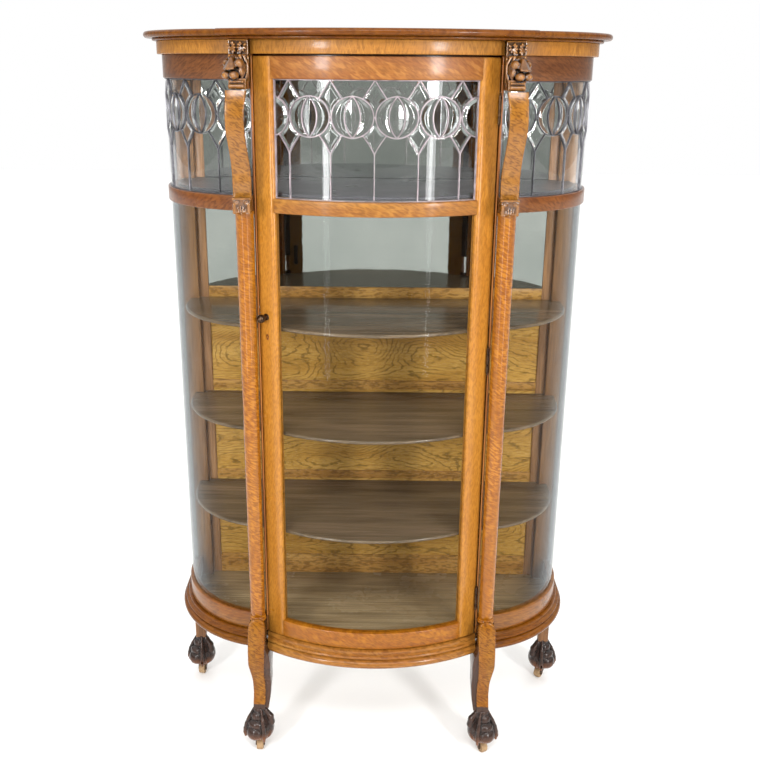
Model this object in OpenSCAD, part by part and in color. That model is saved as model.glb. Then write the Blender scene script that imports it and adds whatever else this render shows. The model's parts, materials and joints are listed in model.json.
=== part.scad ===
// China cabinet with a bowed glass door and two quarter-round glass sides,
// leaded glass frieze, columns with carved corbels, claw feet on casters.
// Millimetres, +Z up, front of the cabinet towards -Y, middle of the cabinet on X = 0.

/* [Cabinet] */
// Height from the floor to the top of the top board
top_z = 1780; // [1760:1:1800]
// Thickness of the top board
top_t = 14; // [10:1:18]
// Front-to-back depth, from the back posts to the front of the top board
depth = 478; // [474:1:484]
// Height of the underside of the base moulding above the floor
base_z = 280; // [270:1:286]
// Thickness of the side and door glass
glass_t = 4; // [3:0.5:5]

/* [Curves] */
// Outer radius of the bowed door front
door_r = 482.6; // [480:0.1:484]
// Outer radius of the side glass
side_r = 252; // [251:0.5:252]
// Half of the door's width as an angle about the centre of its bow
door_a = 32.9; // [32.6:0.05:33]
// Width of a door stile as an angle about the centre of the bow
stile_a = 5.5; // [5:0.1:6.5]

/* [Door] */
// Height of the underside of the door
door_z0 = 325; // [323:1:330]
// Height of the top of the door
door_z1 = 1727; // [1720:1:1729]
// Height of the door's bottom rail
rail_bot_h = 44; // [38:1:52]
// Top of the middle rail
rail_mid_z1 = 1431; // [1425:1:1436]
// Height of the middle rail
rail_mid_h = 31.5; // [26:0.5:36]
// Underside of the top rail
rail_top_z0 = 1681; // [1676:1:1686]
// Height of the knob above the floor
knob_z = 1161; // [1140:1:1175]
// Diameter of the knob
knob_d = 20; // [18:1:22]

/* [Shelves] */
// Thickness of a shelf
shelf_t = 9; // [7:1:12]
// Height of the top of the lowest shelf
shelf_z1 = 610; // [590:1:630]
// Height of the top of the middle shelf
shelf_z2 = 871; // [850:1:885]
// Height of the top of the upper shelf
shelf_z3 = 1130.6; // [1125:0.2:1140]
// Height of the top of the top shelf, level with the middle rails
shelf_z4 = 1440; // [1436:1:1450]

/* [Columns and carving] */
// Diameter of a column at its foot
col_d0 = 37.6; // [35:0.2:44]
// Diameter of a column at its head
col_d1 = 41; // [37:0.2:43]
// Width of a corbel scroll
corbel_w = 39.5; // [34:0.5:42]
// Width of a lead came
came_w = 4.2; // [3.5:0.1:6]

/* [Casters] */
// Radius of a caster wheel
wheel_r = 14; // [13:0.5:14]
// Width of a caster wheel
wheel_w = 18; // [14:1:18]
// Distance from the swivel axis to the wheel's axle
trail = 8; // [5:1:9]

/* [Hidden] */

dy = depth / 2;          // the whole cabinet is centred front to back on Y = 0
fn_big = 180;
// centre of the door's bow, and of a quarter-round side (right-hand one)
dcy = door_r - 432.6;
scx = 250;  scy = -90;
top_under = top_z - top_t;
bed_h = 6;
frieze_z1 = top_under - bed_h;
frieze_z0 = 1731;
srt_z0 = 1679;           // side top rail
srm_z0 = 1399; srm_z1 = 1433;
base_h = 42;
srb_z0 = base_z + base_h; srb_z1 = 370;
board_top = 314;
// front post, and the face that columns and carvings stand against
post_x0 = 265; post_x1 = 271; post_y0 = -348; post_y1 = -326;
face_y = -348.5;
col_x = 289; col_y = -372.5;
// rear post
rp_x0 = 460; rp_x1 = 502; rp_y0 = -50;
// back frame
bf_y0 = -34.5; bf_y1 = -14; bf_x = 437;
// hinge axis
hx = 263.1; hy = -361.4; hinge_z = [432, 1060, 1621];
barrel_r = 3.5; pin_r = 1.5; run = 0.05;
// casters: swivel axis in x and y, and the heading of the trail
cfl = [-290, -396, -90]; cfr = [290, -396, -62]; crl = [-498, -70, -98]; crr = [498, -70, -132];
socket_z = 33; stem_r = 4; socket_r = 6;
// leaded pattern
lead_z = 1606; lead_up = rail_top_z0 - lead_z; lead_dn = lead_z - rail_mid_z1;
door_pitch = 11.4; door_shift = -0.43; door_circle = 43.5;
side_pitch = 21.2; side_circle = 43;

// ---------- shared shapes ----------
module ring_sector(r0, r1, a0, a1, z0, z1, cx = 0, cy = 0)
  translate([cx, cy, z0]) rotate([0, 0, a0])
    rotate_extrude(angle = a1 - a0, $fn = fn_big) translate([r0, 0]) square([r1 - r0, z1 - z0]);

// part of the door's bow between two angles measured from straight ahead
module door_arc(r0, r1, a0, a1, z0, z1) ring_sector(r0, r1, -90 + a0, -90 + a1, z0, z1, 0, dcy);

// right-hand side wall: quarter round from the front post, then straight back
module side_wall(r0, r1, z0, z1, x_cut = post_x1, y_end = rp_y0) {
  difference() {
    ring_sector(r0, r1, -85, 0, z0, z1, scx, scy);
    translate([x_cut - 100, -500, z0 - 1]) cube([100, 500, z1 - z0 + 2]);
  }
  translate([scx + r0, scy, z0]) cube([r1 - r0, y_end - scy, z1 - z0]);
}

module place() translate([0, dy, 0]) children();
module left() mirror([1, 0, 0]) children();

// outline of the top, inset by d
module top2d(d) {
  intersection() {
    translate([0, 750 - depth]) circle(r = 750 - d, $fn = fn_big);
    translate([-(335 - d / 2), -depth - 10]) square([2 * (335 - d / 2), depth - 70]);
  }
  for (s = [-1, 1]) intersection() {
    translate([s * scx, scy]) circle(r = 296.5 - d, $fn = fn_big);
    translate([s * scx - 300, scy - 300]) square([600, 300]);
  }
  translate([-(scx + 296.5 - d), scy - 1]) square([2 * (scx + 296.5 - d), 1 - scy]);
  translate([-scx, -340]) square([2 * scx, 300]);
}

// outline that follows the inside of the cabinet
module inside2d(rd, rs, yb, notch) {
  difference() {
    union() {
      intersection() {
        translate([0, dcy]) circle(r = rd, $fn = fn_big);
        translate([-scx - 1, -600]) square([2 * scx + 2, 600 + scy]);
      }
      for (s = [-1, 1]) intersection() {
        translate([s * scx, scy]) circle(r = rs, $fn = fn_big);
        translate([s > 0 ? scx : -scx - 300, scy - 300]) square([300, 300]);
      }
      translate([-(scx + rs), scy - 1]) square([2 * (scx + rs), yb - scy + 1]);
    }
    if (notch) for (s = [-1, 1])
      translate([s > 0 ? rp_x0 - 1 : -rp_x0 - 99, rp_y0 - 1]) square([100, 100]);
  }
}

// ---------- carcass ----------
module top_board() color([0.66, 0.42, 0.17]) place() {
  translate([0, 0, top_under]) linear_extrude(3) top2d(3);
  translate([0, 0, top_under + 3]) linear_extrude(top_t - 6) top2d(0);
  translate([0, 0, top_z - 3]) linear_extrude(3) top2d(3);
}
module bed_moulding() color([0.60, 0.38, 0.15]) place()
  translate([0, 0, frieze_z1]) linear_extrude(bed_h) top2d(19);

module frieze_side() difference() {
  side_wall(238, 268, frieze_z0, frieze_z1, post_x1, 0);
  translate([200, -500, frieze_z0 - 1]) cube([112, 500 + face_y + 0.5, 60]);
}
module frieze_left() color([0.75, 0.50, 0.20]) place() left() frieze_side();
module frieze_right() color([0.75, 0.50, 0.20]) place() frieze_side();
module frieze_center() color([0.76, 0.51, 0.21]) place() intersection() {
  door_arc(460, door_r + 12, -36, 36, frieze_z0, frieze_z1);
  translate([-266.8, -600, frieze_z0 - 1]) cube([533.6, 500, 60]);
}

module side_rail(r1, z0, z1) side_wall(238, r1, z0, z1);
module side_top_rail_left() color([0.48, 0.27, 0.12]) place() left() side_rail(257, srt_z0, frieze_z0);
module side_top_rail_right() color([0.48, 0.27, 0.12]) place() side_rail(257, srt_z0, frieze_z0);
module side_mid_rail_left() color([0.56, 0.32, 0.14]) place() left() side_rail(259.2, srm_z0, srm_z1);
module side_mid_rail_right() color([0.56, 0.32, 0.14]) place() side_rail(259.2, srm_z0, srm_z1);
module side_bottom_rail_left() color([0.58, 0.34, 0.14]) place() left() side_rail(259.2, srb_z0, srb_z1);
module side_bottom_rail_right() color([0.58, 0.34, 0.14]) place() side_rail(259.2, srb_z0, srb_z1);

// base moulding: section with a large lower round and a small bead above it
module base_section(r0, r1) {
  translate([r0, 4]) square([r1 - r0 - 9, base_h - 4]);
  translate([r0, 0]) square([r1 - r0 - 9, 10]);
  translate([r1 - 10, 10]) circle(r = 10, $fn = 48);
  translate([r1 - 16, 20]) square([9, 4]);
  translate([r1 - 11, 27]) circle(r = 4, $fn = 32);
}
module base_side() difference() {
  union() {
    translate([scx, scy, base_z]) rotate([0, 0, -85]) rotate_extrude(angle = 85, $fn = fn_big)
      base_section(252, 281.5);
    translate([scx, scy, base_z]) rotate([90, 0, 180]) mirror([1, 0, 0]) linear_extrude(-scy)
      base_section(252, 281.5);
  }
  translate([210, -500, base_z - 1]) cube([101.5, 500, base_h + 2]);
}
module base_moulding_left() color([0.62, 0.37, 0.15]) place() left() base_side();
module base_moulding_right() color([0.62, 0.37, 0.15]) place() base_side();
module base_moulding_center() color([0.64, 0.38, 0.15]) place() intersection() {
  translate([0, dcy, base_z]) rotate([0, 0, -126]) rotate_extrude(angle = 72, $fn = fn_big)
    base_section(476, 506);
  translate([-266.5, -600, base_z - 1]) cube([533, 500, base_h + 2]);
}
module bottom_board() color([0.45, 0.30, 0.14]) place() difference() {
  translate([0, 0, board_top - 14]) linear_extrude(14) inside2d(476, 252, bf_y1, true);
  for (s = [-1, 1]) translate([s > 0 ? 266 : -312, -600, board_top - 20]) cube([46, 271.5, 30]);
}

// back: two stiles and six rails, three boards and two mirrors in the openings
rails = [[board_top, 372], [612.6, 635.4], [876, 900], [1129.2, 1158], [1385, 1437.5], [1678, 1731]];
module back_frame() color([0.70, 0.46, 0.19]) place() {
  for (s = [-1, 1]) translate([s > 0 ? bf_x : -rp_x0 + 0.2, bf_y0, board_top])
    cube([rp_x0 - bf_x - 0.2, bf_y1 - bf_y0, frieze_z0 - board_top]);
  for (r = rails) translate([-bf_x, bf_y0, r[0]]) cube([2 * bf_x, bf_y1 - bf_y0, r[1] - r[0]]);
}
module back_fill(i, y0, t) translate([-bf_x, y0, rails[i][1]])
  cube([2 * bf_x, t, rails[i + 1][0] - rails[i][1]]);
module back_panels() color([0.78, 0.55, 0.22]) place() for (i = [0:2]) back_fill(i, -29, 8);
module back_mirrors() color([0.72, 0.76, 0.76]) place() for (i = [3:4]) back_fill(i, -30, 5);

module front_post() {
  translate([post_x0, post_y0, srb_z0]) cube([post_x1 - post_x0, post_y1 - post_y0, frieze_z0 - srb_z0]);
  // narrow rounded strip that runs forward beside the column
  translate([post_x0 + 0.2, 0, 372]) linear_extrude(1355)
    polygon([[0, post_y0 + 1], [0, -355.6], [0.8, -356.8], [2, -356.8], [2.8, -355.6], [2.8, post_y0 + 1]]);
}
module front_post_left() color([0.66, 0.42, 0.17]) place() left() front_post();
module front_post_right() color([0.66, 0.42, 0.17]) place() front_post();

// claw and ball, centred on the caster's swivel axis
module claw_foot(turn) rotate([0, 0, turn]) difference() {
  union() {
    translate([0, 0, 66]) sphere(r = 31, $fn = 48);
    translate([0, 0, 88]) cylinder(h = 56, r1 = 28, r2 = 17, $fn = 48);
    for (a = [0, 100, 180, 260]) rotate([0, 0, a]) hull() {
      translate([19, 0, 104]) sphere(r = 9, $fn = 16);
      translate([31, 0, 70]) sphere(r = 7, $fn = 16);
      translate([25, 0, 42]) sphere(r = 6, $fn = 16);
    }
  }
  translate([-60, -60, 0]) cube([120, 120, socket_z + 2]);
  translate([0, 0, 20]) cylinder(h = 55, r = socket_r, $fn = 48);
}

// front leg: S-shaped in front view and in side view, rounded at its top
function leg_half(z) = z > 333 ? 21.5 : z > 274 ? 21.5 - (333 - z) / 59 * 1 : z > 206 ? 20.5 - 5 * pow(sin((274 - z) / 68 * 90), 2) : 15.5;
function leg_front(z) = z > 300 ? -420 + 17 * pow((z - 300) / 88, 1.4) : -420 + 20 * pow(sin(min(90, (300 - z) / 130 * 90)), 2);
function leg_back(z) = z > 250 ? -330 : -330 - 32 * pow(sin(min(90, (250 - z) / 100 * 90)), 2);
module front_leg() {
  zs = [for (z = [142:12:370]) z];
  difference() {
    union() {
      intersection() {
        translate([0, -300, 0]) rotate([90, 0, 0]) linear_extrude(130)
          union() {
            polygon(concat([for (z = zs) [col_x - leg_half(z), z]],
                           [for (i = [len(zs) - 1:-1:0]) [col_x + leg_half(zs[i]), zs[i]]]));
            translate([col_x, 366.5]) circle(r = 21.5, $fn = 64);
          }
        translate([col_x - 30, 0, 0]) rotate([90, 0, 90]) linear_extrude(60)
          polygon(concat([for (z = zs) if (z < srb_z0) [leg_back(z), z]],
                         [[-330, srb_z0], [face_y, srb_z0], [face_y, 371.5], [-397.5, 371.5], [-397.5, 388], [-403, 388]],
                         [for (i = [len(zs) - 1:-1:0]) [leg_front(zs[i]), zs[i]]]));
      }
      translate([cfr[0], cfr[1], 0]) claw_foot(-90);
    }
    translate([cfr[0], cfr[1], 20]) cylinder(h = 55, r = socket_r, $fn = 48);
  }
}
module front_leg_left() color([0.66, 0.40, 0.16]) place() left() front_leg();
module front_leg_right() color([0.66, 0.40, 0.16]) place() front_leg();

// rear leg: the back corner post runs down into a splayed leg and claw foot
module rear_leg() {
  translate([rp_x0, rp_y0, base_z]) cube([rp_x1 - rp_x0, -rp_y0, frieze_z0 - base_z]);
  hull() {
    translate([rp_x0, rp_y0, base_z - 1]) cube([rp_x1 - rp_x0, -rp_y0, 1]);
    translate([crr[0] - 19, crr[1] - 16, 200]) cube([34, 34, 1]);
  }
  hull() {
    translate([crr[0] - 19, crr[1] - 16, 200]) cube([34, 34, 1]);
    translate([crr[0] - 15, crr[1] - 15, 142]) cube([30, 30, 1]);
  }
  translate([crr[0], crr[1], 0]) claw_foot(-50);
}
module rear_leg_left() color([0.50, 0.30, 0.13]) place() left() rear_leg();
module rear_leg_right() color([0.50, 0.30, 0.13]) place() rear_leg();

module column() translate([col_x, col_y, 0]) rotate_extrude($fn = 72)
  polygon([[0, 372], [21, 372], [21, 376], [19.4, 378], [20.2, 381], [col_d0 / 2 - 1.6, 384], [col_d0 / 2, 392], [col_d0 / 2 - 0.2, 480],
           [(col_d0 + col_d1) / 4 - 0.7, 800], [col_d1 / 2 - 0.6, 1200], [col_d1 / 2, 1394], [21.6, 1397], [21.6, 1404], [0, 1404]]);
module column_left() color([0.74, 0.42, 0.15]) place() left() column();
module column_right() color([0.74, 0.42, 0.15]) place() column();

// corbel: thin scroll bracket that bows out, on a carved leaf block
function scroll_y(t) = -(401 + 52 * pow(sin(min(90, t / 0.78 * 90)), 2) - (t > 0.78 ? 8 * pow((t - 0.78) / 0.22, 2) : 0));
module corbel() {
  translate([col_x - corbel_w / 2, 0, 0]) rotate([90, 0, 90]) linear_extrude(corbel_w)
    polygon(concat([for (i = [0:20]) [scroll_y(i / 20), 1437 + 222 * i / 20]],
                   [for (i = [20:-1:0]) [scroll_y(i / 20) + 13 + 5 * pow(abs(i - 10) / 10, 3), 1437 + 222 * i / 20]]));
  difference() {
    translate([col_x - 21, -418, 1404]) cube([42, 418 + face_y, 33]);
    translate([col_x, -440, 1404]) cylinder(h = 40, r = 24, $fn = 64);
  }
  translate([col_x - 20, -414, 1430]) cube([40, 414 + face_y, 7]);
  for (s = [-1, 1]) translate([col_x + s * 11, -411, 1422]) sphere(r = 7, $fn = 32);
}
module corbel_left() color([0.68, 0.42, 0.16]) place() left() corbel();
module corbel_right() color([0.68, 0.42, 0.16]) place() corbel();

// lion mask with the leaf block above it and the beads below it
module lion_mask() {
  translate([col_x - 22, -392, 1728]) cube([44, 392 + face_y, frieze_z1 - 1728]);
  translate([col_x - 20, -404, 1676]) cube([40, 404 + face_y, 52]);
  translate([col_x, -409, 1703]) sphere(r = 22, $fn = 48);
  translate([col_x, -426, 1692]) sphere(r = 13, $fn = 40);
  translate([col_x, -392, 1746]) rotate([90, 0, 0]) cylinder(h = 5, r = 11, $fn = 40);
  translate([col_x - 18.5, -437, 1660]) cube([37, 437 + face_y, 16]);
  for (z = [1664.2, 1672.2]) translate([col_x - 18, -437, z]) rotate([0, 90, 0]) cylinder(h = 36, r = 3.4, $fn = 32);
}
module lion_mask_left() color([0.36, 0.20, 0.09]) place() left() lion_mask();
module lion_mask_right() color([0.36, 0.20, 0.09]) place() lion_mask();

// ---------- shelves ----------
module shelf(z) color([0.30, 0.19, 0.11]) place() translate([0, 0, z - shelf_t])
  linear_extrude(shelf_t) inside2d(451, 233, -37, true);
module shelf_top() shelf(shelf_z4);
module shelf_upper() shelf(shelf_z3);
module shelf_middle() shelf(shelf_z2);
module shelf_lower() shelf(shelf_z1);
module shelf_pins() color([0.72, 0.60, 0.30]) place()
  for (z = [shelf_z1, shelf_z2, shelf_z3, shelf_z4], s = [-1, 1]) {
    translate([s * 268, -334, z - shelf_t - 3]) rotate([-90, 0, 0]) cylinder(h = 28, r = 3, $fn = 32);
    translate([s * 448.5, -50, z - shelf_t - 3]) rotate([-90, 0, 0]) cylinder(h = 24, r = 3, $fn = 32);
  }

// ---------- side glass ----------
module side_pane(z0, z1) side_wall(side_r - glass_t, side_r, z0, z1);
module side_glass_left() color([0.80, 0.86, 0.86, 0.3]) place() left() side_pane(srb_z1, srm_z0);
module side_glass_right() color([0.80, 0.86, 0.86, 0.3]) place() side_pane(srb_z1, srm_z0);
module side_leaded_glass_left() color([0.80, 0.86, 0.88, 0.35]) place() left() side_pane(srm_z1, srt_z0);
module side_leaded_glass_right() color([0.80, 0.86, 0.88, 0.35]) place() side_pane(srm_z1, srt_z0);

// leaded pattern about a point midway between two circles, flat
module lens2d(r, hw, off) {
  rl = (r * r + hw * hw) / (2 * hw);
  intersection_for (s = [-1, 1]) translate([s * (rl - hw), 0]) circle(r = rl + off, $fn = 64);
}
module circle2d(r, lens = true) {
  difference() { circle(r = r + came_w / 2, $fn = 64); circle(r = r - came_w / 2, $fn = 64); }
  if (lens) difference() { lens2d(r, 17, came_w / 2); lens2d(r, 17, -came_w / 2); }
}
module strip2d(a, b) {
  d = b - a; l = norm(d); n = [-d[1], d[0]] / l * came_w / 2;
  polygon([a + n, a - n, b - n, b + n]);
}
module web2d(r, pitch, up, dn) {
  for (s = [-1, 1]) {
    strip2d([s * (pitch / 2 - r * 0.505), r * 0.85], [0, up + 1]);
    strip2d([s * (pitch / 2 - r * 0.505), -r * 0.85], [0, -r * 1.73]);
  }
  strip2d([0, -r * 1.69], [0, -dn]);
}
module came_shell(r, z0, z1) {
  difference() {
    translate([0, 0, z0]) cylinder(h = z1 - z0, r = r + 2.2, $fn = fn_big);
    translate([0, 0, z0 - 1]) cylinder(h = z1 - z0 + 2, r = r, $fn = fn_big);
  }
  difference() {
    translate([0, 0, z0]) cylinder(h = z1 - z0, r = r - glass_t, $fn = fn_big);
    translate([0, 0, z0 - 1]) cylinder(h = z1 - z0 + 2, r = r - glass_t - 2.2, $fn = fn_big);
  }
}
module radial(a, r) rotate([0, 0, -90 + a]) translate([r - 12, 0, lead_z]) rotate([90, 0, 90])
  linear_extrude(20) children();
module side_cames() intersection() {
  translate([scx, scy, 0]) union() {
    for (k = [0:3]) radial(12.7 + k * side_pitch, side_r) circle2d(side_circle);
    for (k = [0:3]) radial(23.3 + k * side_pitch, side_r)
      web2d(side_circle, side_r * side_pitch * PI / 180, srt_z0 - lead_z, lead_z - srm_z1);
    translate([0, 33, 0]) radial(90, side_r) circle2d(side_circle, false);
  }
  union() {
    side_wall(side_r, side_r + 2.2, srm_z1, srt_z0);
    side_wall(side_r - glass_t - 2.2, side_r - glass_t, srm_z1, srt_z0);
  }
}
module side_lead_cames() color([0.42, 0.42, 0.43]) place() { side_cames(); left() side_cames(); }

// ---------- door ----------
door_in = door_a - stile_a;
latch_a = door_a + 0.25;   // the latch edge stands a little closer to its post
latch_in = latch_a - stile_a;
door_r0 = door_r - 20;
glass_ro = 472;
module door_stile_right() color([0.76, 0.50, 0.20]) place()
  door_arc(door_r0, door_r, door_in, door_a, door_z0, door_z1);
knob_a = -30.9;
module at_knob() translate([0, dcy, knob_z]) rotate([0, 0, -90 + knob_a]) children();
module door_stile_left() color([0.76, 0.50, 0.20]) place() difference() {
  door_arc(door_r0, door_r, -latch_a, -latch_in, door_z0, door_z1);
  at_knob() translate([440, 0, 0]) rotate([0, 90, 0]) cylinder(h = 60, r = 4, $fn = 48);
}
module door_rail(z0, z1) door_arc(door_r0, door_r, -latch_in, door_in, z0, z1);
module door_rail_top() color([0.70, 0.40, 0.15]) place() door_rail(rail_top_z0, door_z1);
module door_rail_middle() color([0.74, 0.44, 0.17]) place() door_rail(rail_mid_z1 - rail_mid_h, rail_mid_z1);
module door_rail_bottom() color([0.72, 0.42, 0.16]) place() door_rail(door_z0, door_z0 + rail_bot_h);
module door_glass() color([0.80, 0.86, 0.86, 0.3]) place()
  door_arc(glass_ro - glass_t, glass_ro, -latch_in, door_in, door_z0 + rail_bot_h, rail_mid_z1 - rail_mid_h);
module door_leaded_glass() color([0.80, 0.86, 0.88, 0.35]) place()
  door_arc(glass_ro - glass_t, glass_ro, -latch_in, door_in, rail_mid_z1, rail_top_z0);
module door_lead_cames() color([0.42, 0.42, 0.43]) place() translate([0, dcy, 0]) intersection() {
  union() {
    for (k = [-2.5:1:2.5]) radial(door_shift + k * door_pitch, glass_ro) circle2d(door_circle, abs(k) < 2);
    for (k = [-2:2]) radial(door_shift + k * door_pitch, glass_ro)
      web2d(door_circle, glass_ro * door_pitch * PI / 180, lead_up, lead_dn);
  }
  came_shell(glass_ro, rail_mid_z1, rail_top_z0);
  rotate([0, 0, -90 - latch_in]) rotate_extrude(angle = latch_in + door_in, $fn = fn_big)
    translate([430, rail_mid_z1]) square([60, rail_top_z0 - rail_mid_z1]);
}

// hinges: three butts, each with a fixed leaf, a door leaf and a pin
module barrel(z0, z1) difference() {
  translate([hx, hy, z0]) cylinder(h = z1 - z0, r = barrel_r, $fn = 32);
  translate([hx, hy, z0 - 1]) cylinder(h = z1 - z0 + 2, r = pin_r + run, $fn = 32);
}
module pin_room(z0, z1) translate([hx, hy, z0]) cylinder(h = z1 - z0, r = barrel_r + 0.5, $fn = 32);
module frame_hinge_leaves() color([0.24, 0.18, 0.12]) place() for (z = hinge_z) {
  for (s = [-1, 1]) difference() {
    union() {
      barrel(z + (s > 0 ? 10.2 : -30), z + (s > 0 ? 30 : -10.2));
      difference() {
        translate([264, hy, z + (s > 0 ? 10.2 : -30)]) cube([1, 32, 19.8]);
        translate([hx, hy, z - 40]) cylinder(h = 80, r = pin_r + run, $fn = 32);
      }
    }
  }
  translate([264, hy + 8, z - 10.2]) cube([1, 24, 20.4]);
  translate([hx, hy, z - 31.5]) cylinder(h = 63, r = pin_r, $fn = 32);
  for (s = [-1, 1]) translate([hx, hy, z + s * 32.3]) sphere(r = 2.4, $fn = 24);
}
module door_hinge_leaves() color([0.24, 0.18, 0.12]) place() for (z = hinge_z) {
  barrel(z - 10, z + 10);
  difference() {
    translate([0, dcy, z]) rotate([0, 0, -90 + door_a]) translate([0, 0, -10])
      translate([door_r0 + 2, 0, 0]) cube([door_r - door_r0 + 4, 1, 20]);
    translate([hx, hy, z - 40]) cylinder(h = 80, r = pin_r + run, $fn = 32);
  }
  translate([0, dcy, z]) rotate([0, 0, -90 + door_a]) for (s = [-1, 1])
    translate([door_r0 + 2, 0, s > 0 ? 10 : -30]) cube([door_r - door_r0 - 3.5, 1, 20]);
}

// knob on a spindle with the catch lever behind the door; it turns upright to free the door
module door_knob() color([0.26, 0.19, 0.12]) place() at_knob() {
  translate([door_r + 0.4, 0, 0]) rotate([0, 90, 0]) cylinder(h = 1.6, r = 8, $fn = 48);
  translate([door_r + 1.5, 0, 0]) rotate([0, 90, 0]) cylinder(h = 13, r1 = 5, r2 = 4, $fn = 48);
  translate([door_r + 21, 0, 0]) sphere(r = knob_d / 2, $fn = 48);
  translate([door_r - 30, 0, 0]) rotate([0, 90, 0]) cylinder(h = 34, r = 3.94, $fn = 48);
  translate([door_r - 29.5, -6, -6]) cube([3.5, 12, 56]);
}

// ---------- casters ----------
module caster_sockets() color([0.28, 0.22, 0.16]) place()
  for (c = [cfl, cfr, crl, crr]) translate([c[0], c[1], 0]) difference() {
    union() {
      translate([0, 0, socket_z]) cylinder(h = 2, r = 11, $fn = 48);
      translate([0, 0, socket_z]) cylinder(h = 40, r = socket_r, $fn = 48);
    }
    translate([0, 0, socket_z - 1]) cylinder(h = 38, r = stem_r + run, $fn = 48);
  }
module caster_fork(c) color([0.22, 0.17, 0.12]) place() translate([c[0], c[1], 0]) rotate([0, 0, c[2]]) {
  translate([0, 0, 30]) cylinder(h = 2.7, r = 11, $fn = 48);
  translate([0, 0, 32]) cylinder(h = 34, r = stem_r, $fn = 48);
  for (s = [-1, 1]) {
    translate([0, s > 0 ? wheel_w / 2 + 0.6 : -wheel_w / 2 - 2.6, 0]) rotate([90, 0, 0]) mirror([0, 0, 1]) linear_extrude(2)
      polygon([[-7, 30.5], [7, 30.5], [trail + 4.5, wheel_r + 3], [trail + 4.5, wheel_r - 4], [trail - 4.5, wheel_r - 4]]);
  }
  translate([trail, wheel_w / 2 + 3.4, wheel_r]) rotate([90, 0, 0]) cylinder(h = wheel_w + 6.8, r = 2, $fn = 32);
}
module caster_fork_fl() caster_fork(cfl);
module caster_fork_fr() caster_fork(cfr);
module caster_fork_rl() caster_fork(crl);
module caster_fork_rr() caster_fork(crr);
module caster_wheel(c) color([0.76, 0.62, 0.44]) place() translate([c[0], c[1], 0]) rotate([0, 0, c[2]])
  translate([trail, 0, wheel_r]) rotate([90, 0, 0]) rotate_extrude($fn = 64)
    polygon([[2 + run, -wheel_w / 2], [wheel_r - 1.5, -wheel_w / 2], [wheel_r, -wheel_w / 2 + 1.5],
             [wheel_r, wheel_w / 2 - 1.5], [wheel_r - 1.5, wheel_w / 2], [2 + run, wheel_w / 2]]);
module caster_wheel_fl() caster_wheel(cfl);
module caster_wheel_fr() caster_wheel(cfr);
module caster_wheel_rl() caster_wheel(crl);
module caster_wheel_rr() caster_wheel(crr);

top_board();
bed_moulding();
frieze_left();
frieze_center();
frieze_right();
side_top_rail_left();
side_top_rail_right();
side_mid_rail_left();
side_mid_rail_right();
side_bottom_rail_left();
side_bottom_rail_right();
base_moulding_left();
base_moulding_center();
base_moulding_right();
bottom_board();
back_frame();
back_panels();
back_mirrors();
rear_leg_left();
rear_leg_right();
front_leg_left();
front_leg_right();
front_post_left();
front_post_right();
column_left();
column_right();
corbel_left();
corbel_right();
lion_mask_left();
lion_mask_right();
shelf_top();
shelf_upper();
shelf_middle();
shelf_lower();
shelf_pins();
side_glass_left();
side_glass_right();
side_leaded_glass_left();
side_leaded_glass_right();
side_lead_cames();
frame_hinge_leaves();
caster_sockets();
door_stile_left();
door_stile_right();
door_rail_top();
door_rail_middle();
door_rail_bottom();
door_glass();
door_leaded_glass();
door_lead_cames();
door_hinge_leaves();
door_knob();
caster_fork_fl();
caster_fork_fr();
caster_fork_rl();
caster_fork_rr();
caster_wheel_fl();
caster_wheel_fr();
caster_wheel_rl();
caster_wheel_rr();
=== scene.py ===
import json
import math
import bpy
import bmesh
import numpy as np
from mathutils import Vector, Matrix


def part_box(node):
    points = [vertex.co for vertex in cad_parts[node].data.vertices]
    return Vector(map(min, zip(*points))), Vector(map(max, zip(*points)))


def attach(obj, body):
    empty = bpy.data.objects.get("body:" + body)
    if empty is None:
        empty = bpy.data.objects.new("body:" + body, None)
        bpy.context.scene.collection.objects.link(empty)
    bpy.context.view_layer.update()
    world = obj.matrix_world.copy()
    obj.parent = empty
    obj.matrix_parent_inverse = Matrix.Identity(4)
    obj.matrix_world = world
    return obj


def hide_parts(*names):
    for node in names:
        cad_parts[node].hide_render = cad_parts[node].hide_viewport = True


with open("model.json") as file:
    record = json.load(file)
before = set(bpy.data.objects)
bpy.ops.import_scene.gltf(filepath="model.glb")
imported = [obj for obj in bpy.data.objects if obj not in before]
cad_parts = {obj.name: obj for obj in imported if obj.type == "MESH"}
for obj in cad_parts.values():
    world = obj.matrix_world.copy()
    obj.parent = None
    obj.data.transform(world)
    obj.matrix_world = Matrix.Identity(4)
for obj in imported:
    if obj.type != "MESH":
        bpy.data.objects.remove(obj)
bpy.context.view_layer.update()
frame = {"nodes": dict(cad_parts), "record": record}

nb = {n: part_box(n) for n in frame["nodes"]}
D2 = nb["rear_leg_left"][1][1]          # the back plane of the cabinet
TOPZ = nb["top_board"][1][2]
PI = math.pi


def mm(*a):
    return [v / 1000.0 for v in a]


# centre of the door's bow and of the right-hand side arc, in the frame
DC = (0.0, 0.050 + D2)
SC = (0.250, -0.090 + D2)
FACE = -0.3485 + D2
COLX = 0.289

# ------------------------------------------------------------------ colour


def lin(r, g, b):
    out = []
    for c in (r, g, b):
        c = c / 255.0
        out.append(c / 12.92 if c <= 0.04045 else ((c + 0.055) / 1.055) ** 2.4)
    return (out[0], out[1], out[2], 1.0)


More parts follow.
